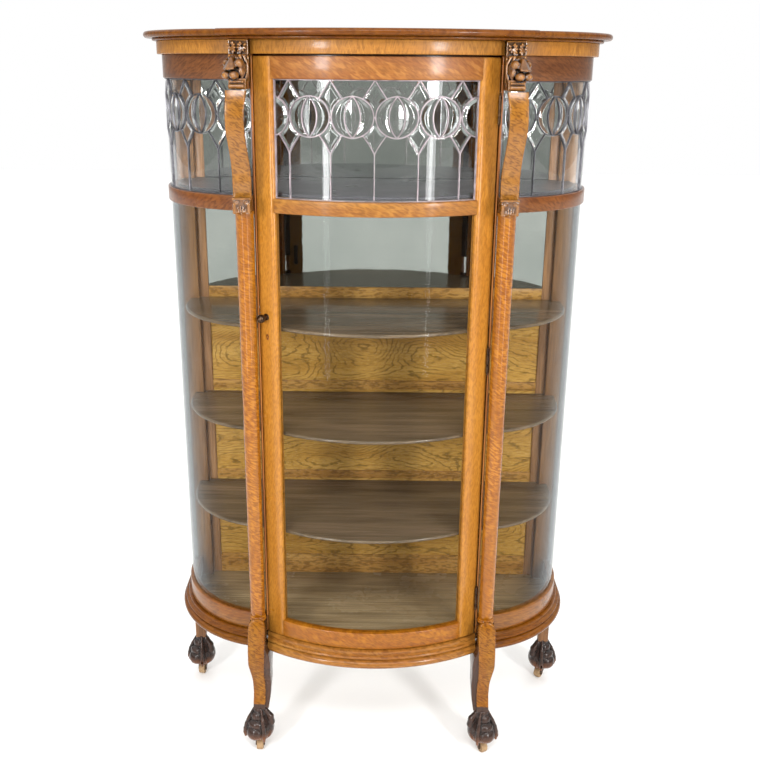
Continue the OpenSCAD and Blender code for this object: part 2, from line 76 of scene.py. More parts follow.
class NT:
    """Small wrapper for building node trees."""

    def __init__(self, name):
        self.mat = bpy.data.materials.new(name)
        self.mat.use_nodes = True
        self.t = self.mat.node_tree
        self.t.nodes.clear()
        self.out = self.t.nodes.new("ShaderNodeOutputMaterial")

    def n(self, kind, **kw):
        node = self.t.nodes.new(kind)
        for k, v in kw.items():
            setattr(node, k, v)
        return node

    def link(self, a, b):
        self.t.links.new(a, b)

    def math(self, op, a, b=None, clamp=False):
        m = self.n("ShaderNodeMath", operation=op, use_clamp=clamp)
        for i, v in enumerate((a, b)):
            if v is None:
                continue
            if hasattr(v, "is_linked"):
                self.link(v, m.inputs[i])
            else:
                m.inputs[i].default_value = v
        return m.outputs[0]

    def noise(self, vec, scale=1.0, detail=3.0, rough=0.55, distort=0.0):
        m = self.n("ShaderNodeTexNoise")
        self.link(vec, m.inputs["Vector"])
        m.inputs["Scale"].default_value = scale
        m.inputs["Detail"].default_value = detail
        m.inputs["Roughness"].default_value = rough
        m.inputs["Distortion"].default_value = distort
        return m.outputs[0]

    def ramp(self, fac, stops, interp="LINEAR"):
        r = self.n("ShaderNodeValToRGB")
        r.color_ramp.interpolation = interp
        e = r.color_ramp.elements
        while len(e) < len(stops):
            e.new(0.5)
        for i, (p, c) in enumerate(stops):
            e[i].position = p
            e[i].color = c if len(c) == 4 else (c[0], c[1], c[2], 1)
        self.link(fac, r.inputs[0])
        return r.outputs[0]

    def remap(self, v, a, b, c=0.0, d=1.0, smooth=False):
        m = self.n("ShaderNodeMapRange")
        if smooth:
            m.interpolation_type = "SMOOTHSTEP"
        self.link(v, m.inputs[0])
        for i, x in enumerate((a, b, c, d)):
            m.inputs[i + 1].default_value = x
        return m.outputs[0]

    def mix(self, fac, a, b, blend="MIX"):
        m = self.n("ShaderNodeMix", data_type="RGBA", blend_type=blend)
        m.clamp_factor = True
        if hasattr(fac, "is_linked"):
            self.link(fac, m.inputs[0])
        else:
            m.inputs[0].default_value = fac
        for sock, v in ((m.inputs[6], a), (m.inputs[7], b)):
            if hasattr(v, "is_linked"):
                self.link(v, sock)
            else:
                sock.default_value = v
        return m.outputs[2]

    def vec(self, x, y, z):
        m = self.n("ShaderNodeCombineXYZ")
        for i, v in enumerate((x, y, z)):
            if hasattr(v, "is_linked"):
                self.link(v, m.inputs[i])
            else:
                m.inputs[i].default_value = v
        return m.outputs[0]

    def split(self, v):
        m = self.n("ShaderNodeSeparateXYZ")
        self.link(v, m.inputs[0])
        return m.outputs[0], m.outputs[1], m.outputs[2]

    def attr(self, name):
        m = self.n("ShaderNodeAttribute", attribute_name=name)
        return m.outputs["Vector"]

    def bump(self, height, strength, dist):
        m = self.n("ShaderNodeBump")
        m.inputs["Strength"].default_value = strength
        m.inputs["Distance"].default_value = dist
        self.link(height, m.inputs["Height"])
        return m.outputs[0]

    def principled(self, **kw):
        p = self.n("ShaderNodeBsdfPrincipled")
        for k, v in kw.items():
            k = k.replace("_", " ")
            if hasattr(v, "is_linked"):
                self.link(v, p.inputs[k])
            else:
                p.inputs[k].default_value = v
        return p

    def done(self, shader):
        self.link(shader.outputs[0], self.out.inputs[0])
        return self.mat


TINT = {"oak_leg_side": (1.3, 1.2, 1), "oak_stile": (0.648, 0.65, 0.483), "oak_frieze": (0.53, 0.52, 0.37),
        "oak_rail_red": (0.453, 0.465, 0.437), "oak_rail_mid": (0.502, 0.561, 0.459), "oak_rail_dark": (0.478, 0.477, 0.446),
        "oak_rail_mid_side": (0.305, 0.271, 0.268), "oak_scroll": (0.405, 0.39, 0.208), "oak_column": (0.45, 0.44, 0.12),
        "oak_rail_low": (0.51, 0.48, 0.12), "oak_base": (0.56, 0.66, 0.62), "oak_base_side": (0.31, 0.275, 0.09),
        "oak_side_low": (0.4, 0.39, 0.24), "oak_leg": (0.399, 0.425, 0.136), "oak_top": (0.275, 0.245, 0.12),
        "oak_panel": (0.86, 0.87, 1.05), "oak_back_rail": (0.99, 1.12, 1.35), "oak_shelf": (1.16, 1.26, 1.12),
        "oak_floor": (1.28, 1.58, 1.53), "oak_carved": (0.86, 0.84, 0.52), "oak_foot": (0.95, 0.85, 0.78),
        "oak_rear_post": (0.8, 0.86, 0.74)}


def tinted(name, c):
    k = TINT.get(name, (1.0, 1.0, 1.0))
    return (min(1.0, c[0] * k[0]), min(1.0, c[1] * k[1]), min(1.0, c[2] * k[2]), 1.0)


def oak(name, light, mid, dark, fleck=0.3, angle=25.0, fl_len=70.0, fl_w=420.0, fl_cut=(0.50, 0.64), fleck_col=None, stripes=0.3,
        grain=(9.0, 260.0), rough=0.30, coat=0.2, spec=0.24, tone=0.7, topo=0.0, wave=0.004, dash=None, bump=0.10, dip=None):
    """Oak from grain coordinates: x along the grain, y across the face, z into the board, in metres.
    dash: (angle, along, across, low, high, strength) of the short dark figure. dip: (z0, z1, colour) of a dark stain below z0."""
    light, mid, dark = tinted(name, light), tinted(name, mid), tinted(name, dark)
    t = NT(name)
    g = t.attr("gc")
    x, y, z = t.split(g)
    warp = t.noise(t.vec(t.math("MULTIPLY", x, 2.2), t.math("MULTIPLY", y, 6.0), t.math("MULTIPLY", z, 6.0)), 1.0, 2.0)
    yw = t.math("ADD", y, t.math("MULTIPLY", t.math("SUBTRACT", warp, 0.5), 0.012))
    base_n = t.noise(t.vec(t.math("MULTIPLY", x, 3.0), t.math("MULTIPLY", yw, 26.0), t.math("MULTIPLY", z, 20.0)), 1.0, 3.0)
    base = t.ramp(base_n, [(0.30, dark), (0.48, mid), (0.70, light)])
    base = t.mix(1.0 - tone, base, mid)
    rn = t.noise(t.vec(t.math("MULTIPLY", x, grain[0]), t.math("MULTIPLY", yw, grain[1]), t.math("MULTIPLY", z, grain[1])), 1.0, 3.0, 0.6)
    dk = tuple(c * 0.40 for c in dark[:3]) + (1,)
    col = t.mix(t.math("MULTIPLY", t.remap(rn, 0.38, 0.56, 1.0, 0.0, True), stripes), base, dk)
    wv = t.noise(t.vec(t.math("MULTIPLY", x, 34.0), t.math("MULTIPLY", y, 34.0), t.math("MULTIPLY", z, 34.0)), 1.0, 2.0)
    sway = t.math("MULTIPLY", t.math("SUBTRACT", wv, 0.5), wave)

    def skew(ang):
        a = math.radians(ang)
        u = t.math("ADD", t.math("MULTIPLY", x, math.cos(a)), t.math("MULTIPLY", y, math.sin(a)))
        v = t.math("SUBTRACT", t.math("MULTIPLY", y, math.cos(a)), t.math("MULTIPLY", x, math.sin(a)))
        return u, v
    if topo > 0:
        # outlines of flat-sawn growth rings, like height lines on a map
        w1 = t.noise(t.vec(t.math("MULTIPLY", x, 3.0), t.math("MULTIPLY", y, 7.0), z), 1.0, 1.2, 0.45)
        w2 = t.noise(t.vec(t.math("MULTIPLY", x, 16.0), t.math("MULTIPLY", y, 50.0), z), 1.0, 3.0, 0.6)
        hg = t.math("ADD", t.math("MULTIPLY", w1, 34.0), t.math("MULTIPLY", w2, 2.2))
        ln = t.math("ABSOLUTE", t.math("SUBTRACT", t.math("FRACT", hg), 0.5))
        thin = t.remap(ln, 0.05, 0.17, 1.0, 0.0, True)
        brk = t.remap(t.noise(t.vec(t.math("MULTIPLY", x, 22.0), t.math("MULTIPLY", y, 40.0), z), 1.0, 2.0), 0.36, 0.52, 0.25, 1.0, True)
        col = t.mix(t.math("MULTIPLY", t.math("MULTIPLY", thin, brk), topo), col, tuple(c * 0.20 for c in mid[:3]) + (1,))
    if dash:
        u, v = skew(dash[0])
        dn = t.noise(t.vec(t.math("MULTIPLY", u, dash[1]), t.math("MULTIPLY", t.math("ADD", v, sway), dash[2]), t.math("MULTIPLY", z, 60.0)), 1.0, 2.0, 0.5)
        col = t.mix(t.math("MULTIPLY", t.remap(dn, dash[3], dash[4], 1.0, 0.0, True), dash[5]), col, dk)
    if fleck > 0:
        u, v = skew(angle)
        fn = t.noise(t.vec(t.math("MULTIPLY", t.math("ADD", u, sway), fl_w), t.math("MULTIPLY", v, fl_len), t.math("MULTIPLY", z, 40.0)), 1.0, 1.6, 0.45)
        patch = t.noise(t.vec(t.math("MULTIPLY", x, 9.0), t.math("MULTIPLY", y, 22.0), z), 1.0, 1.0)
        f = t.math("MULTIPLY", t.remap(fn, fl_cut[0], fl_cut[1], 0.0, 1.0, True), t.remap(patch, 0.34, 0.56, 0.25, 1.0, True))
        fc = tinted(name, fleck_col) if fleck_col else tuple(min(1.0, c * 1.35) for c in light[:3]) + (1,)
        col = t.mix(t.math("MULTIPLY", f, fleck), col, fc)
    if dip:
        oz = t.split(t.n("ShaderNodeTexCoord").outputs["Object"])[2]
        oz = t.math("ADD", oz, t.math("MULTIPLY", t.math("SUBTRACT", wv, 0.5), 0.006))
        stain = t.mix(t.remap(rn, 0.38, 0.56, 0.5, 0.0, True), dip[2], tuple(c * 0.4 for c in dip[2][:3]) + (1,))
        col = t.mix(t.remap(oz, dip[0], dip[1], 1.0, 0.0, True), col, stain)
    sm = t.noise(t.vec(t.math("MULTIPLY", x, 9.0), t.math("MULTIPLY", y, 9.0), t.math("MULTIPLY", z, 9.0)), 1.0, 4.0, 0.6)
    ro = t.remap(sm, 0.3, 0.7, rough * 0.85, rough * 1.2)
    p = t.principled(Base_Color=col, Roughness=ro, Coat_Weight=coat, Coat_Roughness=0.14, Normal=t.bump(rn, bump, 0.0006))
    p.inputs["Specular IOR Level"].default_value = spec
    return t.done(p)


def carved(name, dark, mid, light, rough=0.24, coat=0.8, floor_bounce=None):
    """Carved oak with painted shade: darker in the hollows, lighter on the high places, and lighter near the floor with
    painted light bounced from the floor if asked.
    """
    dark, mid, light = tinted(name, dark), tinted(name, mid), tinted(name, light)
    t = NT(name)
    g = t.attr("gc")
    x, y, z = t.split(g)
    n1 = t.noise(t.vec(t.math("MULTIPLY", x, 40.0), t.math("MULTIPLY", y, 160.0), t.math("MULTIPLY", z, 160.0)), 1.0, 3.0)
    n2 = t.noise(g, 55.0, 3.0, 0.6)
    # painted shade: the high attribute (from occl) darkens the hollows of the carving and lightens its crests
    hx, _, _ = t.split(t.attr("high"))
    k = t.math("ADD", hx, t.math("MULTIPLY", t.math("SUBTRACT", n2, 0.5), 0.50))
    col = t.ramp(k, [(0.34, dark), (0.62, mid), (0.98, light)])
    col = t.mix(t.math("MULTIPLY", t.remap(n1, 0.4, 0.6, 1.0, 0.0, True), 0.25), col, dark)
    # painted bounce light: the colour turns lighter orange-brown towards the floor, standing in for light bounced up
    # from the floor
    if floor_bounce:
        oz = t.split(t.n("ShaderNodeTexCoord").outputs["Object"])[2]
        oz = t.math("ADD", oz, t.math("MULTIPLY", t.math("SUBTRACT", n2, 0.5), 0.030))
        col = t.mix(t.remap(oz, 0.044, 0.070, 1.0, 0.0, True), col, tinted(name, floor_bounce))
    p = t.principled(Base_Color=col, Roughness=t.remap(n2, 0.3, 0.7, rough * 0.75, rough * 1.4), Coat_Weight=coat,
                     Coat_Roughness=0.07, Normal=t.bump(n1, 0.15, 0.0006))
    p.inputs["Specular IOR Level"].default_value = 0.2
    return t.done(p)


def glass_mat(name, clear=(0.955, 0.965, 0.96), edge=(0.50, 0.53, 0.55), gloss=0.80, haze=0.0):
    """Thin sheet glass: clear face on, more reflective where it turns away."""
    t = NT(name)
    lw = t.n("ShaderNodeLayerWeight")
    lw.inputs[0].default_value = 0.5
    g = t.attr("gc")
    x, y, z = t.split(g)
    n = t.noise(t.vec(t.math("MULTIPLY", x, 3.0), t.math("MULTIPLY", y, 1.2), z), 1.0, 2.0)
    face = lw.outputs["Facing"]
    tint = t.mix(t.remap(face, 0.50, 0.94, 0.0, 1.0, True), tuple(clear) + (1,), tuple(edge) + (1,))
    tr = t.n("ShaderNodeBsdfTransparent")
    t.link(tint, tr.inputs[0])
    gl = t.principled(Base_Color=(0.86, 0.90, 0.92, 1), Metallic=1.0, Roughness=t.remap(n, 0.3, 0.7, 0.02, 0.05))
    t.link(t.bump(n, 0.12, 0.004), gl.inputs["Normal"])
    m = t.n("ShaderNodeMixShader")
    f = t.math("ADD", t.math("MULTIPLY", t.math("POWER", face, 5.0), gloss), 0.002 + haze)
    t.link(f, m.inputs[0])
    t.link(tr.outputs[0], m.inputs[1])
    t.link(gl.outputs[0], m.inputs[2])
    return t.done(m)


def bevel_glass(name):
    """Clear bevelled pieces: they bend what is behind them and let the lamps through."""
    t = NT(name)
    g = t.attr("gc")
    n = t.noise(g, 60.0, 2.0, 0.5)
    gl = t.principled(Base_Color=(0.96, 0.975, 0.98, 1), Transmission_Weight=1.0, Roughness=t.remap(n, 0.3, 0.7, 0.0, 0.03), IOR=1.5)
    gl.inputs["Specular IOR Level"].default_value = 0.14
    tr = t.n("ShaderNodeBsdfTransparent")
    tr.inputs[0].default_value = (0.93, 0.95, 0.95, 1)
    lp = t.n("ShaderNodeLightPath")
    m = t.n("ShaderNodeMixShader")
    t.link(lp.outputs["Is Shadow Ray"], m.inputs[0])
    t.link(gl.outputs[0], m.inputs[1])
    t.link(tr.outputs[0], m.inputs[2])
    return t.done(m)


def metal(name, col, worn, rough=0.35, scale=120.0):
    t = NT(name)
    tc = t.n("ShaderNodeTexCoord").outputs["Object"]
    n = t.noise(tc, scale, 4.0, 0.6)
    n2 = t.noise(tc, scale * 6, 2.0, 0.6)
    c = t.ramp(n, [(0.35, col), (0.7, worn)])
    p = t.principled(Base_Color=c, Metallic=1.0, Roughness=t.remap(n, 0.3, 0.7, rough * 0.8, rough * 1.4), Normal=t.bump(n2, 0.15, 0.0004))
    return t.done(p)


# ------------------------------------------------------------------ materials

G3 = (lin(214, 150, 72), lin(198, 130, 54), lin(178, 110, 42))
R3 = (lin(206, 138, 66), lin(186, 112, 46), lin(160, 86, 32))
C3 = (lin(214, 140, 66), lin(194, 114, 46), lin(166, 86, 32))
D3 = (lin(160, 100, 56), lin(132, 78, 42), lin(104, 58, 30))
M = {}
M["stile"] = oak("oak_stile", *G3, fleck=0.16, angle=9, fl_len=200, fl_w=45, stripes=0.12, tone=0.35, dash=(7, 95, 350, 0.42, 0.54, 0.32), wave=0.006)
M["frieze"] = oak("oak_frieze", *G3, fleck=0.30, angle=15, fl_len=28, fl_w=210, stripes=0.10, tone=0.45, dash=(76, 60, 330, 0.42, 0.54, 0.36), wave=0.006, rough=0.42)
M["rail_red"] = oak("oak_rail_red", *R3, fleck=0.45, angle=58, fl_len=46, fl_w=150, fl_cut=(0.48, 0.68), stripes=0.12, tone=0.5, dash=(-32, 70, 330, 0.42, 0.54, 0.30), rough=0.42)
M["rail_mid"] = oak("oak_rail_mid", *R3, fleck=0.35, angle=62, fl_len=50, fl_w=110, fl_cut=(0.44, 0.68), stripes=0.2, tone=0.6, dash=(-20, 55, 330, 0.42, 0.54, 0.36), rough=0.42)
M["rail_low"] = oak("oak_rail_low", *R3, fleck=0.42, angle=55, fl_len=46, fl_w=120, fl_cut=(0.46, 0.68), stripes=0.12, tone=0.5, dash=(-28, 70, 330, 0.42, 0.54, 0.34), rough=0.36)
M["rail"] = oak("oak_rail", *R3, fleck=0.25, angle=55, fl_len=60, fl_w=200, stripes=0.2, dash=(-10, 55, 330, 0.42, 0.54, 0.36))
# the top board and bed moulding get a darker copy of the rail oak, painted shade that offsets the strong light on them
# from above
M["top"] = oak("oak_top", *R3, fleck=0.22, angle=60, fl_len=60, fl_w=160, stripes=0.2, dash=(-6, 60, 330, 0.42, 0.54, 0.40), coat=0.10, rough=0.28, spec=0.12)
M["rail_dark"] = oak("oak_rail_dark", *D3, fleck=0.20, angle=55, fl_len=60, fl_w=200, stripes=0.15, dash=(-28, 70, 340, 0.42, 0.54, 0.42), coat=0.2)
M["rail_mid_side"] = oak("oak_rail_mid_side", *R3, fleck=0.25, angle=50, fl_len=60, fl_w=200, stripes=0.15, dash=(-35, 76, 340, 0.42, 0.54, 0.52), coat=0.3)
M["side_low"] = oak("oak_side_low", *R3, fleck=0.15, angle=50, fl_len=60, fl_w=200, stripes=0.3, dash=(-10, 46, 210, 0.40, 0.54, 0.4), coat=0.3)
M["column"] = oak("oak_column", *C3, fleck=0.62, angle=24, fl_len=60, fl_w=250, fl_cut=(0.45, 0.60), stripes=0.08, tone=0.4, wave=0.010,
                  dash=(-58, 90, 340, 0.42, 0.55, 0.30), coat=0.6, rough=0.22, spec=0.12)
M["scroll"] = oak("oak_scroll", *G3, fleck=0.20, angle=30, fl_len=60, fl_w=200, stripes=0.06, tone=0.35, wave=0.014, dash=(-60, 95, 360, 0.42, 0.54, 0.62), coat=0.5, rough=0.18)
M["leg"] = oak("oak_leg", *C3, fleck=0.25, angle=24, fl_len=60, fl_w=200, stripes=0.10, tone=0.5, wave=0.014, dash=(-62, 90, 340, 0.42, 0.54, 0.60), coat=0.2, rough=0.22, spec=0.16, dip=(0.1365, 0.1395, lin(62, 44, 36)))
M["leg_side"] = oak("oak_leg_side", lin(78, 50, 32), lin(58, 36, 24), lin(38, 24, 16), fleck=0.0, stripes=0.35, coat=0.25, rough=0.25)
M["base"] = oak("oak_base", *R3, fleck=0.18, angle=50, fl_len=40, fl_w=200, stripes=0.2, dash=(-4, 55, 330, 0.42, 0.54, 0.42), coat=0.25, rough=0.24, spec=0.16)
# the curved side pieces of the base moulding get a darker copy of its oak, painted shade for side faces that turn away
# from the light
M["base_side"] = oak("oak_base_side", *R3, fleck=0.12, angle=50, fl_len=40, fl_w=200, stripes=0.25, dash=(-4, 55, 330, 0.42, 0.54, 0.42), coat=0.14, rough=0.24, spec=0.12)
M["panel"] = oak("oak_panel", lin(210, 164, 80), lin(196, 148, 66), lin(176, 126, 50), fleck=0.0, stripes=0.12, topo=0.62, tone=0.8, dash=(0, 46, 200, 0.40, 0.52, 0.30),
                 coat=0.0, spec=0.15)
M["back"] = oak("oak_back", lin(168, 126, 88), lin(142, 104, 72), lin(112, 80, 54), fleck=0.0, stripes=0.35, tone=0.8, coat=0.0, spec=0.15)
M["back_rail"] = oak("oak_back_rail", lin(190, 138, 70), lin(166, 114, 52), lin(136, 86, 38), fleck=0.0, stripes=0.15, grain=(5.0, 240.0), dash=(0, 60, 200, 0.40, 0.54, 0.55), coat=0.0, spec=0.15)
M["post"] = oak("oak_post", lin(190, 124, 54), lin(166, 100, 42), lin(130, 74, 30), fleck=0.0, stripes=0.35, tone=0.7)
M["rear_leg"] = oak("oak_rear_leg", lin(140, 96, 56), lin(112, 74, 42), lin(78, 50, 28), fleck=0.0, stripes=0.35, coat=0.2)
M["rear_post"] = oak("oak_rear_post", lin(170, 120, 76), lin(146, 98, 60), lin(112, 72, 42), fleck=0.0, stripes=0.35, tone=0.7)
M["shelf"] = oak("oak_shelf", lin(118, 94, 80), lin(96, 76, 62), lin(72, 55, 44), fleck=0.0, stripes=0.4, grain=(4.0, 200.0), coat=0.2, rough=0.20, bump=0.0)
M["shelf_top"] = oak("oak_shelf_top", lin(64, 60, 62), lin(50, 48, 52), lin(38, 36, 40), fleck=0.0, stripes=0.4, grain=(4.0, 200.0), coat=0.12, rough=0.3, bump=0.0, spec=0.12)
M["floor"] = oak("oak_floor", lin(150, 118, 92), lin(126, 96, 72), lin(96, 72, 54), fleck=0.0, stripes=0.4, grain=(4.0, 200.0), coat=0.3, rough=0.25, bump=0.0)
M["carved"] = carved("oak_carved", lin(22, 13, 8), lin(104, 64, 31), lin(170, 112, 52), rough=0.16, coat=1.0)
# the feet: painted shade in the hollows and painted bounce light from the floor at their lowest part
M["foot"] = carved("oak_foot", lin(18, 12, 10), lin(48, 34, 29), lin(86, 62, 50), rough=0.22, coat=0.30, floor_bounce=lin(106, 62, 26))
M["glass"] = glass_mat("sheet_glass")
M["bevel"] = bevel_glass("bevelled_glass")
M["lead"] = metal("lead_came", lin(150, 140, 144), lin(196, 182, 186), 0.42, 70)
M["lead_dark"] = metal("lead_came_dark", lin(102, 101, 106), lin(140, 139, 144), 0.4, 70)
M["bronze"] = metal("bronzed", lin(50, 39, 32), lin(96, 73, 54), 0.28)
M["brass"] = metal("dull_brass", lin(150, 120, 62), lin(180, 148, 84), 0.3)
M["mirror"] = metal("silvering", lin(167, 171, 166), lin(181, 183, 178), 0.03, 6)
M["wheel"] = oak("turned_maple", lin(180, 150, 114), lin(160, 131, 98), lin(132, 105, 76), fleck=0.0, stripes=0.2, coat=0.0, rough=0.6, spec=0.2)

# ------------------------------------------------------------------ mesh tools

rng = np.random.default_rng(7)
OFF = {}


def offset_for(name):
    if name not in OFF:
        OFF[name] = rng.uniform(-3, 3, 3)
    return OFF[name]


def g_axes(a, b, c):
    """Grain map that takes x along the grain from axis a, across from b, depth from c."""
    return lambda co: np.stack([co[:, a], co[:, b], co[:, c]], 1)


def g_arc(center, mirror=False, vert=False, r_ref=None, straight=False):
    def f(co):
        x = -co[:, 0] if mirror else co[:, 0]
        dx, dy = x - center[0], co[:, 1] - center[1]
        if straight:
            th = np.where(dy > 0, PI / 2, np.arctan2(dx, np.maximum(-dy, 1e-6)))
            r = np.where(dy > 0, dx, np.hypot(dx, dy))
            s = (r_ref or 0.25) * th + np.maximum(dy, 0)
        else:
            r = np.hypot(dx, dy)
            s = (r_ref or 0.475) * np.arctan2(dx, -dy)
        z = co[:, 2]
        return np.stack([z, s, r], 1) if vert else np.stack([s, z, r], 1)
    return f


def finish(name, me, gmap, mat, body, rep=(), slot=None, sharp=35.0, high=None, extra=None):
    n = len(me.vertices)
    co = np.empty(n * 3)
    me.vertices.foreach_get("co", co)
    co = co.reshape(n, 3)
    gc = gmap(co) + offset_for(name)
    at = me.attributes.new("gc", "FLOAT_VECTOR", "POINT")
    at.data.foreach_set("vector", gc.astype(np.float32).ravel())
    if high is not None:
        h = np.zeros((n, 3), np.float32)
        h[:, 0] = high
        at = me.attributes.new("high", "FLOAT_VECTOR", "POINT")
        at.data.foreach_set("vector", h.ravel())
    me.polygons.foreach_set("use_smooth", [True] * len(me.polygons))
    if sharp is not None:
        me.set_sharp_from_angle(angle=math.radians(sharp))
    me.update()
    ob = bpy.data.objects.new(name, me)
    bpy.context.scene.collection.objects.link(ob)
    me.materials.append(mat)
    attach(ob, body)
    if rep:
        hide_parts(*rep)
    return ob


def mesh_of(name, verts, faces, flip=False):
    me = bpy.data.meshes.new(name)
    me.from_pydata([tuple(v) for v in verts], [], [tuple(f) for f in faces])
    if flip:
        me.flip_normals()
    me.update()
    return me


def join_parts(parts):
    """parts: list of (verts, faces) -> one (verts, faces)."""
    V, F, k = [], [], 0
    for v, f in parts:
        V += list(v)
        F += [tuple(i + k for i in q) for q in f]
        k += len(v)
    return V, F


def mirror_part(p):
    v, f = p
    return [(-a, b, c) for a, b, c in v], [tuple(reversed(q)) for q in f]


def rrect(a0, a1, b0, b1, rad, seg=3, corners=(1, 1, 1, 1)):
    """Closed rounded rectangle, anticlockwise from the lower right corner. corners: lr, ur, ul, ll."""
    out = []
    cs = [(a1, b0, -90), (a1, b1, 0), (a0, b1, 90), (a0, b0, 180)]
    sg = [(-1, 1), (-1, -1), (1, -1), (1, 1)]
    for (a, b, st), (sa, sb), on in zip(cs, sg, corners):
        r = rad * on
        if r <= 0:
            out.append((a, b))
            continue
        for i in range(seg + 1):
            t = math.radians(st + 90 * i / seg)
            out.append((a + sa * r + r * math.cos(t), b + sb * r + r * math.sin(t)))
    return out


def grid_faces(nu, nv, closed_v=True):
    F = []
    for i in range(nu - 1):
        for j in range(nv if closed_v else nv - 1):
            a, b = i * nv + j, i * nv + (j + 1) % nv
            F.append((a, b, b + nv, a + nv))
    return F


def sweep_door(profile, a0, a1, n, cap=True):
    """profile: closed (r, z), anticlockwise with r to the right. Angles in degrees from straight ahead."""
    V = []
    for i in range(n + 1):
        a = math.radians(a0 + (a1 - a0) * i / n)
        for r, z in profile:
            V.append((DC[0] + r * math.sin(a), DC[1] - r * math.cos(a), z))
    m = len(profile)
    F = [tuple(reversed(q)) for q in grid_faces(n + 1, m)]
    if cap:
        F.append(tuple(range(m)))
        F.append(tuple(reversed(range(n * m, (n + 1) * m))))
    return V, F


def sweep_cut(profile, x0, x1, n, c=DC):
    """As sweep_door, but ended by the planes x = x0 and x = x1."""
    V = []
    for i in range(n + 1):
        for r, z in profile:
            a0, a1 = math.asin((x0 - c[0]) / r), math.asin((x1 - c[0]) / r)
            a = a0 + (a1 - a0) * i / n
            V.append((c[0] + r * math.sin(a), c[1] - r * math.cos(a), z))
    m = len(profile)
    F = [tuple(reversed(q)) for q in grid_faces(n + 1, m)]
    F.append(tuple(range(m)))
    F.append(tuple(reversed(range(n * m, (n + 1) * m))))
    return V, F


def sweep_side(profile, x0, y_end, n=40, ns=6):
    """Right-hand side wall: from the plane x = x0 round to straight back, ending at y_end (frame)."""
    V = []
    rows = []
    for i in range(n + 1):
        for r, z in profile:
            a0 = math.asin((x0 - SC[0]) / r)
            a = a0 + (PI / 2 - a0) * i / n
            V.append((SC[0] + r * math.sin(a), SC[1] - r * math.cos(a), z))
    for i in range(1, ns + 1):
        y = SC[1] + (y_end - SC[1]) * i / ns
        for r, z in profile:
            V.append((SC[0] + r, y, z))
    m = len(profile)
    F = [tuple(reversed(q)) for q in grid_faces(n + 1 + ns, m)]
    F.append(tuple(range(m)))
    F.append(tuple(reversed(range((n + ns) * m, (n + ns + 1) * m))))
    return V, F


def box_part(lo, hi, bev=0.001, seg=2):
    bm = bmesh.new()
    bmesh.ops.create_cube(bm, size=1.0)
    for v in bm.verts:
        v.co = Vector([lo[i] + (v.co[i] + 0.5) * (hi[i] - lo[i]) for i in range(3)])
    if bev:
        bmesh.ops.bevel(bm, geom=list(bm.edges), offset=bev, segments=seg, affect="EDGES", profile=0.5)
    bm.verts.ensure_lookup_table()
    V = [tuple(v.co) for v in bm.verts]
    F = [tuple(v.index for v in f.verts) for f in bm.faces]
    bm.free()
    return V, F


def lathe(profile, center, n=64, axis="z"):
    """profile: (r, h) from bottom to top, closed at the axis."""
    V = []
    for r, h in profile:
        for i in range(n):
            a = 2 * PI * i / n
            V.append((center[0] + r * math.cos(a), center[1] + r * math.sin(a), h))
    m = len(profile)
    F = []
    for j in range(m - 1):
        for i in range(n):
            a, b = j * n + i, j * n + (i + 1) % n
            F.append((a, b, b + n, a + n))
    F.append(tuple(reversed(range(n))))
    F.append(tuple(range((m - 1) * n, m * n)))
    return V, F


def extrude_plan(poly, z0, z1, bev=0.0):
    """Vertical prism from an anticlockwise plan polygon."""
    m = len(poly)
    V = [(x, y, z0) for x, y in poly] + [(x, y, z1) for x, y in poly]
    F = [(i, (i + 1) % m, m + (i + 1) % m, m + i) for i in range(m)]
    F.append(tuple(reversed(range(m))))
    F.append(tuple(range(m, 2 * m)))
    return V, F


def turned(part, rot, pos):
    R = Matrix.Rotation(rot[1], 4, rot[0]) if isinstance(rot, tuple) else rot
    return [tuple(R @ Vector(v) + Vector(pos)) for v in part[0]], part[1]


# ------------------------------------------------------------------ signed-distance carving


